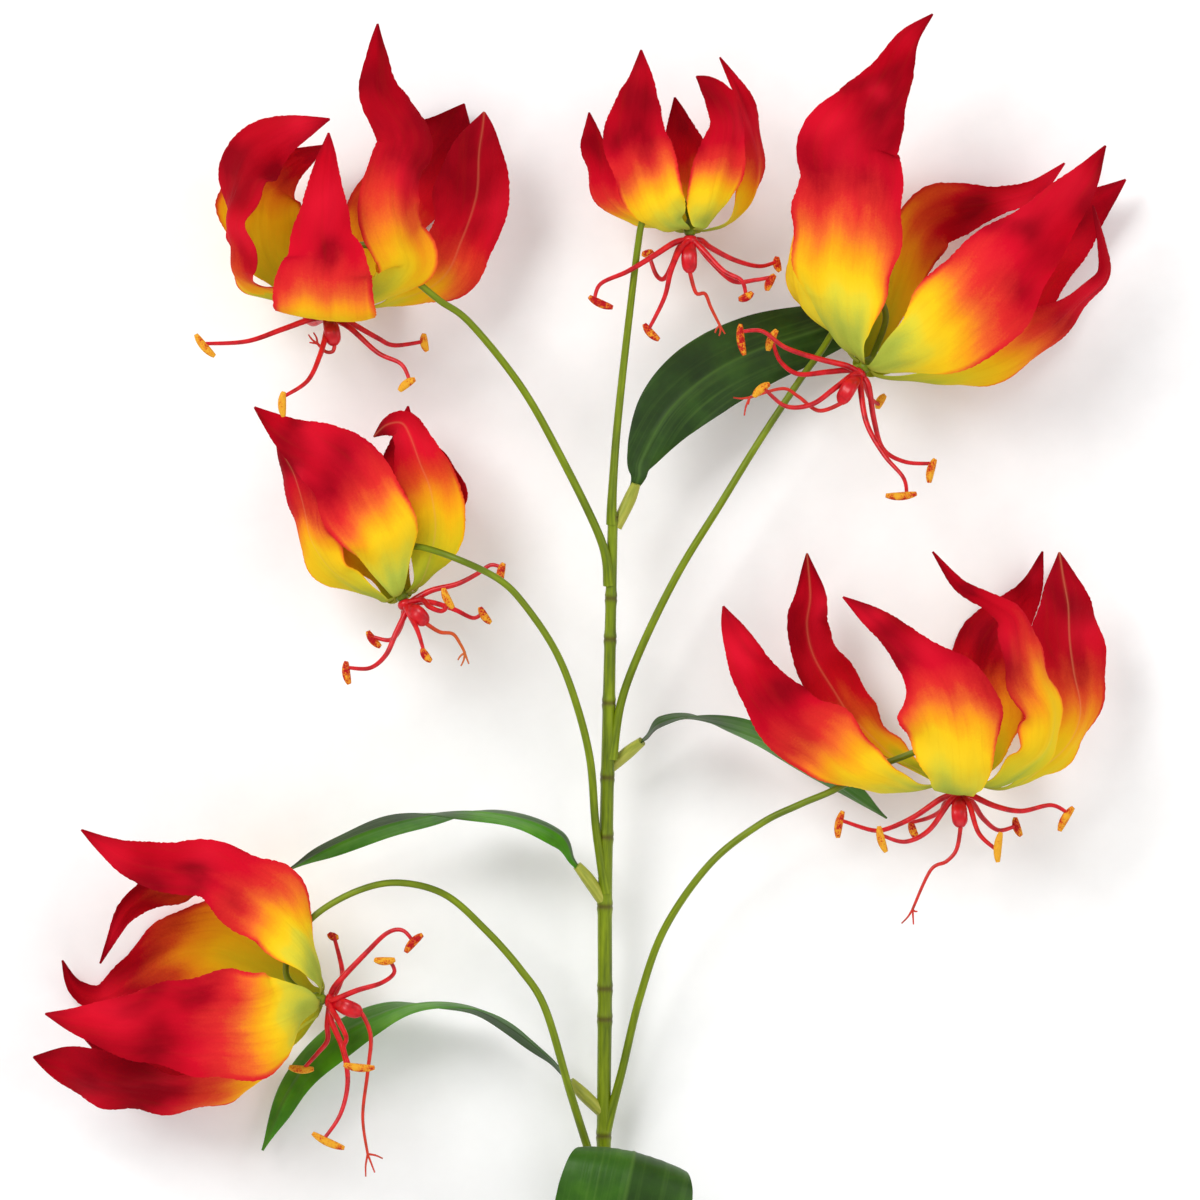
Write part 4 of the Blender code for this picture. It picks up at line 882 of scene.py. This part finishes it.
def petal_sheet(stations, heading, sector, random):
    """A petal's grid of points, the place of each in the cloth in metres, and how deep in a fold it lies,
    which sets the painted shade there.
    """
    ribs = stations[:, :3]
    along = directions(ribs)
    sides = sides_of(along, stations[:, 4], heading, sector)
    inward = np.cross(sides, along)
    run = run_of(ribs)
    share = run / run[-1]
    body = smooth_step(share, 0.06, 0.3) * smooth_step(1 - share, 0.0, 0.2)  # fades out folds at both ends
    half_width = np.maximum(stations[:, 3], MIN_HALF_WIDTH)
    room = np.minimum(half_width / RUFFLED_HALF_WIDTH, 1)
    edges = [
        ripple(run, RUFFLE_LENGTHS, random) + LONG_RUFFLE_SHARE * ripple(run / 2, RUFFLE_LENGTHS, random)
        for _ in range(2)
    ]
    wave = ripple(run, WAVE_LENGTHS, random)
    pleat = ripple(run, PLEAT_LENGTHS, random)
    phase = random.uniform(0, 2 * math.pi)
    swing = EDGE_SWING * ripple(run, RUFFLE_LENGTHS, random)
    sheet, cloth = (np.zeros((len(ribs), PETAL_COLUMNS, 3)) for _ in range(2))
    depth = np.zeros((len(ribs), PETAL_COLUMNS))
    for j, u in enumerate(crowded(PETAL_COLUMNS)):
        reach = half_width * (1 + swing if u > 0 else 1 - swing)
        roof = math.sqrt(u * u + ROOF_ROUNDING**2) - ROOF_ROUNDING
        arch = (1 - ROOF_SHARE) * u * u + ROOF_SHARE * roof
        # Ruffles along both edges, waves along the middle, and pleats that wander across.
        fold = RUFFLE_DEPTH * abs(u) ** 2.2 * edges[int(u > 0)]
        fold = fold + WAVE_DEPTH * wave * (1 - u * u)
        fold = fold + PLEAT_DEPTH * np.cos(4 * u + phase + 2.5 * pleat)
        relief = CREASE_DEPTH * ridge(u * half_width, CREASE_HALF_WIDTH)
        relief = relief + VEIN_DEPTH * math.sin(2 * math.pi * PETAL_VEINS * u)
        lift = reach * PETAL_CUP * arch + body * (room * fold + relief)
        fray = random.uniform(-FRAY, FRAY, len(ribs)) * body if abs(u) == 1 else 0
        sheet[:, j] = ribs + (u * reach + fray)[:, None] * sides + lift[:, None] * inward
        cloth[:, j, 0] = u * half_width
        cloth[:, j, 1] = run
        # The painted shade of this column, from how deep its fold is.
        depth[:, j] = smooth_step(body * fold, *DEEP_FOLD)
    return sheet, cloth, depth


def petal_dye(cloth, half_widths, red_from, random):
    """How far the dye has gone from green and yellow, at 0, to dark red, at 1, at each point of a petal."""
    run = cloth[:, :, 1]
    across = cloth[:, :, 0] / np.maximum(half_widths, MIN_HALF_WIDTH)[:, None]
    lean = random.uniform(-DYE_STRAY, DYE_STRAY)
    share = run / run.max() + DYE_STRAY * across**2 + lean * across
    share = share + 0.02 * np.sin(3 * across + random.uniform(0, 6))
    share = share + 0.015 * ripple(across, (0.7, 1.1), random)
    green = np.interp(red_from, (0.1, 0.3, 0.6), (0.25, 0.8, 1.0))  # less green where red starts early
    # Where along the petal each of DYE_LEVELS is reached.
    stops = [0, 0.11 * green, 0.25 * green, red_from - 0.14 * green, red_from + 0.02, red_from + 0.2]
    stops = np.maximum.accumulate(np.array(stops + [0.9, 1.0]) + np.arange(len(DYE_LEVELS)) * 1e-4)
    dye = np.interp(share, stops, DYE_LEVELS)
    yellow = smooth_step(dye, 0.1, 0.3) * (1 - smooth_step(dye, 0.5, 0.65))
    return dye + RIM_DYE * smooth_step(np.abs(across), 0.9, 1.0) * yellow


def patchy(sheet, patches):
    """How much of the given soft patches lies over each point of a petal, seen in plan."""
    across = sheet[:, :, 0] / PLAN_PIXEL + PLAN_ORIGIN[0]
    down = PLAN_ORIGIN[1] - sheet[:, :, 1] / PLAN_PIXEL
    strayed = across + PATCH_STRAY * np.sin(down / PATCH_STRAY_LENGTH)
    lowered = down + PATCH_STRAY * np.sin(across / PATCH_STRAY_LENGTH)
    clear = np.ones(across.shape)
    for x, y, radius in patches:
        clear *= 1 - PATCH_STRENGTH * ridge(np.hypot(strayed - x, lowered - y), PATCH_SOFTNESS * radius)
    return 1 - clear


def dress_petal(number, bloom, petal, finish):
    node = f"bloom_{number}_petal_{petal.name}"
    random = np.random.default_rng(1000 * number + sum(map(ord, petal.name)))
    axis, _, _ = bloom_axes(bloom)
    heading = -unit(axis * (1, 1, 0))
    sector = np.cross(axis, outward(bloom, math.radians(petal.azimuth)))
    stations = route(petal_stations(bloom, petal), PETAL_ROWS)
    stations[:, 4] = settled(stations[:, 4], passes=6)
    sheet, cloth, depth = petal_sheet(stations, heading, sector, random)
    dye = petal_dye(cloth, stations[:, 3], petal.red_from, random)
    sheet[:, :, 2] = np.maximum(sheet[:, :, 2], PETAL_THICKNESS)
    cloth[:, :, 2] = random.uniform(0, 1)
    attributes = {
        "cloth": cloth,
        "dye": dye,
        # Painted shade: darker in deep folds and under the bloom's dark patches.
        "depth": FOLD_DARKNESS * depth + patchy(sheet, bloom.dark),
        "midrib": petal.pale * ridge(cloth[:, :, 0], MIDRIB_HALF_WIDTH),
        # Painted highlights under the bloom's bright patches.
        "glow": patchy(sheet, bloom.bright),
    }
    shell(node + "_silk", sheet, PETAL_THICKNESS, finish, node, attributes, petal.golden)


# Stamens and pistils

# Rises of the dome's rings above the hub, and their radii as shares of HUB_RADIUS.
DOME = ((CLEARANCE, 0.9), (1.5 * MM, 1.2), (3.2 * MM, 1.05), (4.4 * MM, 0.5))
FILAMENT_ROOT_RISE = 2.0 * MM
FILAMENT_ROOT_REACH = 1.3 * MM
FILAMENT_RADIUS = 1.35 * MM
FILAMENT_TIP_RADIUS = 0.75 * MM
ANTHER_RADIUS = 1.55 * MM
ANTHER_BOW = 0.7 * MM
ANTHER_STEPS = 22
MORE_POLLEN_AT_ENDS = 0.15
OVARY_ROOT_RISE = 3.4 * MM
OVARY_RADIUS = 3.1 * MM
OVARY_SHAPE = (0.6, 0.95, 0.88, 0.42)  # the ovary's radii along it, as shares of OVARY_RADIUS
OVARY_WAIST = 0.8  # how far along the ovary its style starts, inside it
STYLE_RADIUS = 0.95 * MM
STIGMA_RADIUS = 0.5 * MM
STIGMA_CURL = 0.4 * MM


def stamen_angles(bloom):
    """The azimuth, in radians, at which each stamen leaves the dome, shared out by the way they lead."""
    _, level, up = bloom_axes(bloom)
    hub = place(*bloom.hub)
    leads = []
    for stamen in bloom.stamens:
        lead = place(*stamen.path[-1], bloom.hub[2] + stamen.rise) - hub
        leads.append(math.atan2(np.dot(lead, up), np.dot(lead, level)))
    angles = [0.0] * len(leads)
    for rank, k in enumerate(sorted(range(len(leads)), key=lambda k: leads[k])):
        angles[k] = -math.pi + 2 * math.pi * (rank + 0.5) / len(leads)
    return angles


def add_stamen(bloom, stamen, angle, filaments, anthers):
    """Adds one curved filament and the anther that sits across its end."""
    axis, _, _ = bloom_axes(bloom)
    root = place(*bloom.hub) + axis * FILAMENT_ROOT_RISE + outward(bloom, angle) * FILAMENT_ROOT_REACH
    steps = np.linspace(0, 1, len(stamen.path) + 1)[1:]
    path = [place(x, y, bloom.hub[2] + stamen.rise * step) for (x, y), step in zip(stamen.path, steps)]
    first, last = (place(x, y, bloom.hub[2] + stamen.rise) for x, y in stamen.anther)
    anther = last - first
    joined = np.clip(np.dot(path[-1] - first, anther) / np.dot(anther, anther), 0.1, 0.9)
    line = route([root, *path[:-1], between(first, last, joined)], count=40)
    filaments.add(line, np.linspace(FILAMENT_RADIUS, FILAMENT_TIP_RADIUS, len(line)), sides=10)
    run = np.linspace(0, 1, ANTHER_STEPS)
    bow = np.cross(unit(anther), (0, 0, 1)) * ANTHER_BOW
    middle = np.array([between(first, last, k) + bow * (1 - (2 * k - 1) ** 2) for k in run])
    # Blunt at both ends.
    girth = ANTHER_RADIUS * np.clip(np.sin(math.pi * (0.06 + 0.88 * run)) ** 0.45, 0.3, 1)
    cover = stamen.pollen + MORE_POLLEN_AT_ENDS * np.abs(2 * run - 1)
    anthers.add(middle, girth, sides=14, shade=cover, lobes=2, lobe_depth=0.1)


def pistil_of(bloom):
    """The ovary with three lobes, the style and the three curled arms of the stigma."""
    rise, orange, ovary, style, stigma = bloom.pistil
    height = bloom.hub[2] + rise
    first, last = (place(x, y, height) for x, y in ovary)
    waist = between(first, last, OVARY_WAIST)
    root = place(*bloom.hub) + bloom_axes(bloom)[0] * OVARY_ROOT_RISE
    middle = (root, between(first, last, 0.35), waist, last)
    pistil = Tubes()
    body = route([(*p, OVARY_RADIUS * share) for p, share in zip(middle, OVARY_SHAPE)], count=26)
    pistil.add(body[:, :3], body[:, 3], sides=24, lobes=3, lobe_depth=0.16)
    line = route([waist, last] + [place(x, y, height) for x, y in style], count=44)
    orange = orange * np.linspace(0.2, 1, len(line))
    pistil.add(line, np.linspace(STYLE_RADIUS, STIGMA_RADIUS * 1.15, len(line)), sides=10, shade=orange)
    fork = between(line[-1], line[-2], 0.15)
    for turn, (x, y) in zip((-1, 0, 1), stigma):
        end = place(x, y, height)
        curl = unit(np.cross(end - fork, (0, 0, 1))) * STIGMA_CURL * turn
        arm = route([fork, (fork + end) / 2 + curl, end], count=12)
        taper = np.linspace(STIGMA_RADIUS, STIGMA_RADIUS * 0.6, len(arm))
        pistil.add(arm, taper, sides=8, shade=orange[-1])
    return pistil


def dress_heart(number, bloom, red, pollen):
    node = f"bloom_{number}_stamens_and_pistil"
    filaments, anthers = Tubes(), Tubes()
    hub = place(*bloom.hub)
    axis, _, _ = bloom_axes(bloom)
    dome = route([(*(hub + axis * rise), share * HUB_RADIUS) for rise, share in DOME], count=10)
    filaments.add(dome[:, :3], dome[:, 3], sides=16)
    for stamen, angle in zip(bloom.stamens, stamen_angles(bloom)):
        add_stamen(bloom, stamen, angle, filaments, anthers)
    filaments.finish(f"bloom_{number}_filaments", red, "stamen", node)
    anthers.finish(f"bloom_{number}_anthers", pollen, "stamen", node)
    pistil_of(bloom).finish(f"bloom_{number}_pistil", red, "stamen", node)


# Stems

STEM_NODE_RISE = 0.45 * MM
STEM_NODE_HALF_LENGTH = 2.2 * MM
STEM_SEAM_DEPTH = 0.3 * MM
STEM_SEAM_HALF_WIDTH = 0.7 * MM
FLOWER_STEM_RADIUS = 1.7 * MM
FLOWER_STEM_TIP_RADIUS = 1.25 * MM
FLARE_LENGTH = 9 * MM
FLARE_RISE = 0.7 * MM
HUB_LENGTH = 4.0 * MM
NECK_LENGTH = 3.0 * MM


def dress_main_stem(finish):
    line = route([(*place(x, y, rise), radius * MM) for x, y, rise, radius in MAIN_STEM], count=520)
    points, radii = line[:, :3], line[:, 3]
    seam = np.zeros(len(radii))
    for node in STEM_NODES:
        distance = points[:, 1] - place(0, node, 0)[1]
        radii = radii + STEM_NODE_RISE * ridge(distance, STEM_NODE_HALF_LENGTH)
        radii = radii - STEM_SEAM_DEPTH * ridge(distance, STEM_SEAM_HALF_WIDTH)
        seam = np.maximum(seam, ridge(distance, 1.6 * STEM_SEAM_HALF_WIDTH))
    stem = Tubes()
    stem.add(points, radii, sides=20, shade=0.75 * seam, lobes=5, lobe_depth=0.03)
    stem.finish("main_stem_moulding", finish, "stem", "main_stem")


def dress_flower_stem(number, bloom, finish):
    """A stem that flares where it leaves the main stem and swells into the hub of its bloom."""
    hub = place(*bloom.hub)
    neck = hub - bloom_axes(bloom)[0] * (HUB_LENGTH + NECK_LENGTH)
    line = route([place(*p) for p in bloom.stem] + [neck], count=150)
    radii = np.linspace(FLOWER_STEM_RADIUS, FLOWER_STEM_TIP_RADIUS, len(line))
    radii = radii + FLARE_RISE * np.exp(-run_of(line) / FLARE_LENGTH)
    cap = np.linspace(0, 1, 14)[1:]
    swell = between(FLOWER_STEM_TIP_RADIUS, HUB_RADIUS, smooth_step(cap, 0, 0.5))
    line = np.concatenate([line, [between(neck, hub, k) for k in cap]])
    radii = np.concatenate([radii, swell * (1 - 0.25 * smooth_step(cap, 0.85, 1.0))])
    stem = Tubes()
    stem.add(line, radii, sides=14)
    stem.finish(f"flower_stem_{number}_moulding", finish, "stem", f"flower_stem_{number}")


# Leaves

LEAF_THICKNESS = 0.6 * MM
LEAF_ROWS, LEAF_COLUMNS = 160, 21
LEAF_OUTLINE = (0.12, 0.55, 0.86, 1.0, 0.98, 0.88, 0.7, 0.45, 0.04)  # shares of the half width, to the tip
LEAF_CUP = 0.12  # the depth of a leaf's section as a share of its half width
LEAF_WAVE_LENGTHS = (0.04, 0.06)
LEAF_WAVE = 0.6 * MM
LEAF_CREASE = -0.5 * MM
LEAF_VEINS = 5  # on each half
LEAF_VEIN_DEPTH = 0.08 * MM
LEAF_MIDRIB_HALF_WIDTH = 0.6 * MM
LEAF_STARTS = (-2 * MM, 3 * MM)  # the rib's first points, along the sheath from its end
SHEATH_RADII = (2.3, 2.6, 1.9)  # in millimetres


def dress_leaf(leaf, cloth_finish, sheath_finish):
    socket = [place(*p) for p in leaf.sheath]
    sheath = route([(*p, r * MM) for p, r in zip(socket, SHEATH_RADII)], count=40)
    tubes = Tubes()
    tubes.add(sheath[:, :3], sheath[:, 3], sides=16, lobes=3, lobe_depth=0.05)
    tubes.finish(leaf.name + "_sheath_moulding", sheath_finish, "sheath", leaf.name + "_sheath")

    forward = unit(socket[-1] - socket[-2])
    points = [(*(socket[-1] + forward * start), leaf.stations[0][3]) for start in LEAF_STARTS]
    points += [(*place(x, y, rise), roll) for x, y, rise, roll in leaf.stations]
    line = route(points, LEAF_ROWS)
    ribs = line[:, :3]
    widths = np.clip(spaced(LEAF_OUTLINE, LEAF_ROWS), 0.03, 1) * leaf.half_width * MM
    side = leaf.side and np.array(leaf.side)
    heading = None if leaf.side else forward * (1, 1, 0)
    along = directions(ribs)
    sides = sides_of(along, settled(line[:, 3], passes=10), heading, side)
    inward = np.cross(sides, along)
    run = run_of(ribs)
    share = run / run[-1]
    body = smooth_step(share, 0.03, 0.15) * smooth_step(1 - share, 0, 0.15)
    across = crowded(LEAF_COLUMNS)
    random = np.random.default_rng(sum(map(ord, leaf.name)))
    sheet, cloth = (np.zeros((LEAF_ROWS, LEAF_COLUMNS, 3)) for _ in range(2))
    waves = [ripple(run, LEAF_WAVE_LENGTHS, random, latest_start=6) for _ in range(2)]
    for j, u in enumerate(across):
        relief = LEAF_WAVE * u * u * waves[int(u > 0)] + LEAF_CREASE * ridge(u * widths, CREASE_HALF_WIDTH)
        relief = relief + LEAF_VEIN_DEPTH * np.cos(2 * math.pi * LEAF_VEINS * u)
        lift = widths * LEAF_CUP * u * u + body * relief
        sheet[:, j] = ribs + (u * widths)[:, None] * sides + lift[:, None] * inward
        cloth[:, j, 0] = u * widths
        cloth[:, j, 1] = run
    sheet[:, :, 2] = np.maximum(sheet[:, :, 2], LEAF_THICKNESS)
    cloth[:, :, 2] = random.uniform(0, 1)
    # How bright the green is on each half: partly each face's own green, partly painted light and shade on
    # the folded halves.
    shares, *halves = leaf.bright
    turn = smooth_step(across, -0.06, 0.06)
    right, left = (np.interp(share, shares, levels) for levels in halves)
    bright = np.outer(right, turn) + np.outer(left, 1 - turn)
    attributes = {"cloth": cloth, "midrib": ridge(cloth[:, :, 0], LEAF_MIDRIB_HALF_WIDTH), "bright": bright}
    shell(leaf.name + "_cloth", sheet, LEAF_THICKNESS, cloth_finish, leaf.name, attributes)


# Studio

FLOOR_SIZE = 12.0
CAMERA_LENS = 300.0
SENSOR_WIDTH = 36.0
CAMERA_FOCUS_RISE = 50  # in millimetres above the surface
WORLD_STRENGTH = 0.6
LIGHTS_AIM = Vector((0, 0, 0.05))
# Name, place in metres, size in metres and power in watts of each soft light.
STUDIO_LIGHTS = (
    ("key_light", (-0.9, 0.9, 1.6), 0.9, 22.0),
    ("fill_light", (1.4, 0.2, 1.3), 1.2, 8.0),
    ("low_light", (0.1, -1.6, 1.0), 1.2, 5.0),
)


def build_studio():
    """Floor, lights and camera. The camera looks straight down from far off, for a flat look."""
    bpy.ops.mesh.primitive_plane_add(size=FLOOR_SIZE)
    floor = bpy.context.object
    floor.name = "studio_floor"
    floor.data.materials.append(floor_finish())
    scene = bpy.context.scene
    for name, spot, size, power in STUDIO_LIGHTS:
        light = bpy.data.lights.new(name, "AREA")
        light.size = size
        light.energy = power
        made = bpy.data.objects.new(name, light)
        made.location = spot
        made.rotation_euler = (LIGHTS_AIM - Vector(spot)).to_track_quat("-Z", "Y").to_euler()
        scene.collection.objects.link(made)
    scene.world = bpy.data.worlds.new("studio")
    scene.world.use_nodes = True
    backdrop = scene.world.node_tree.nodes["Background"]
    backdrop.inputs["Color"].default_value = (1, 1, 1, 1)
    backdrop.inputs["Strength"].default_value = WORLD_STRENGTH
    scene.view_settings.view_transform = "Standard"

    camera = bpy.data.cameras.new("camera")
    camera.lens = CAMERA_LENS
    camera.sensor_width = SENSOR_WIDTH
    camera.clip_end = 100
    made = bpy.data.objects.new("camera", camera)
    distance = PLAN_PIXELS * PLAN_PIXEL * CAMERA_LENS / SENSOR_WIDTH
    made.location = place(*PLAN_MIDDLE, CAMERA_FOCUS_RISE) + np.array((0, 0, distance))
    scene.collection.objects.link(made)
    scene.camera = made


def build():
    silk = silk_finish()
    red, pollen = stamen_finish(), anther_finish()
    stem_green = stem_finish("stem_moulding", "50620A", "6E8006", "84960E", "4A3612")
    sheath_green = stem_finish("sheath_moulding", "848E30", "A2A63E", "B8B652", "5F5E22")
    leaf_cloth = leaf_finish()
    dress_main_stem(stem_green)
    for number, bloom in enumerate(BLOOMS, 1):
        dress_flower_stem(number, bloom, stem_green)
        dress_heart(number, bloom, red, pollen)
        for petal in bloom.petals:
            dress_petal(number, bloom, petal, silk)
    for leaf in LEAVES:
        dress_leaf(leaf, leaf_cloth, sheath_green)
    build_studio()


build()
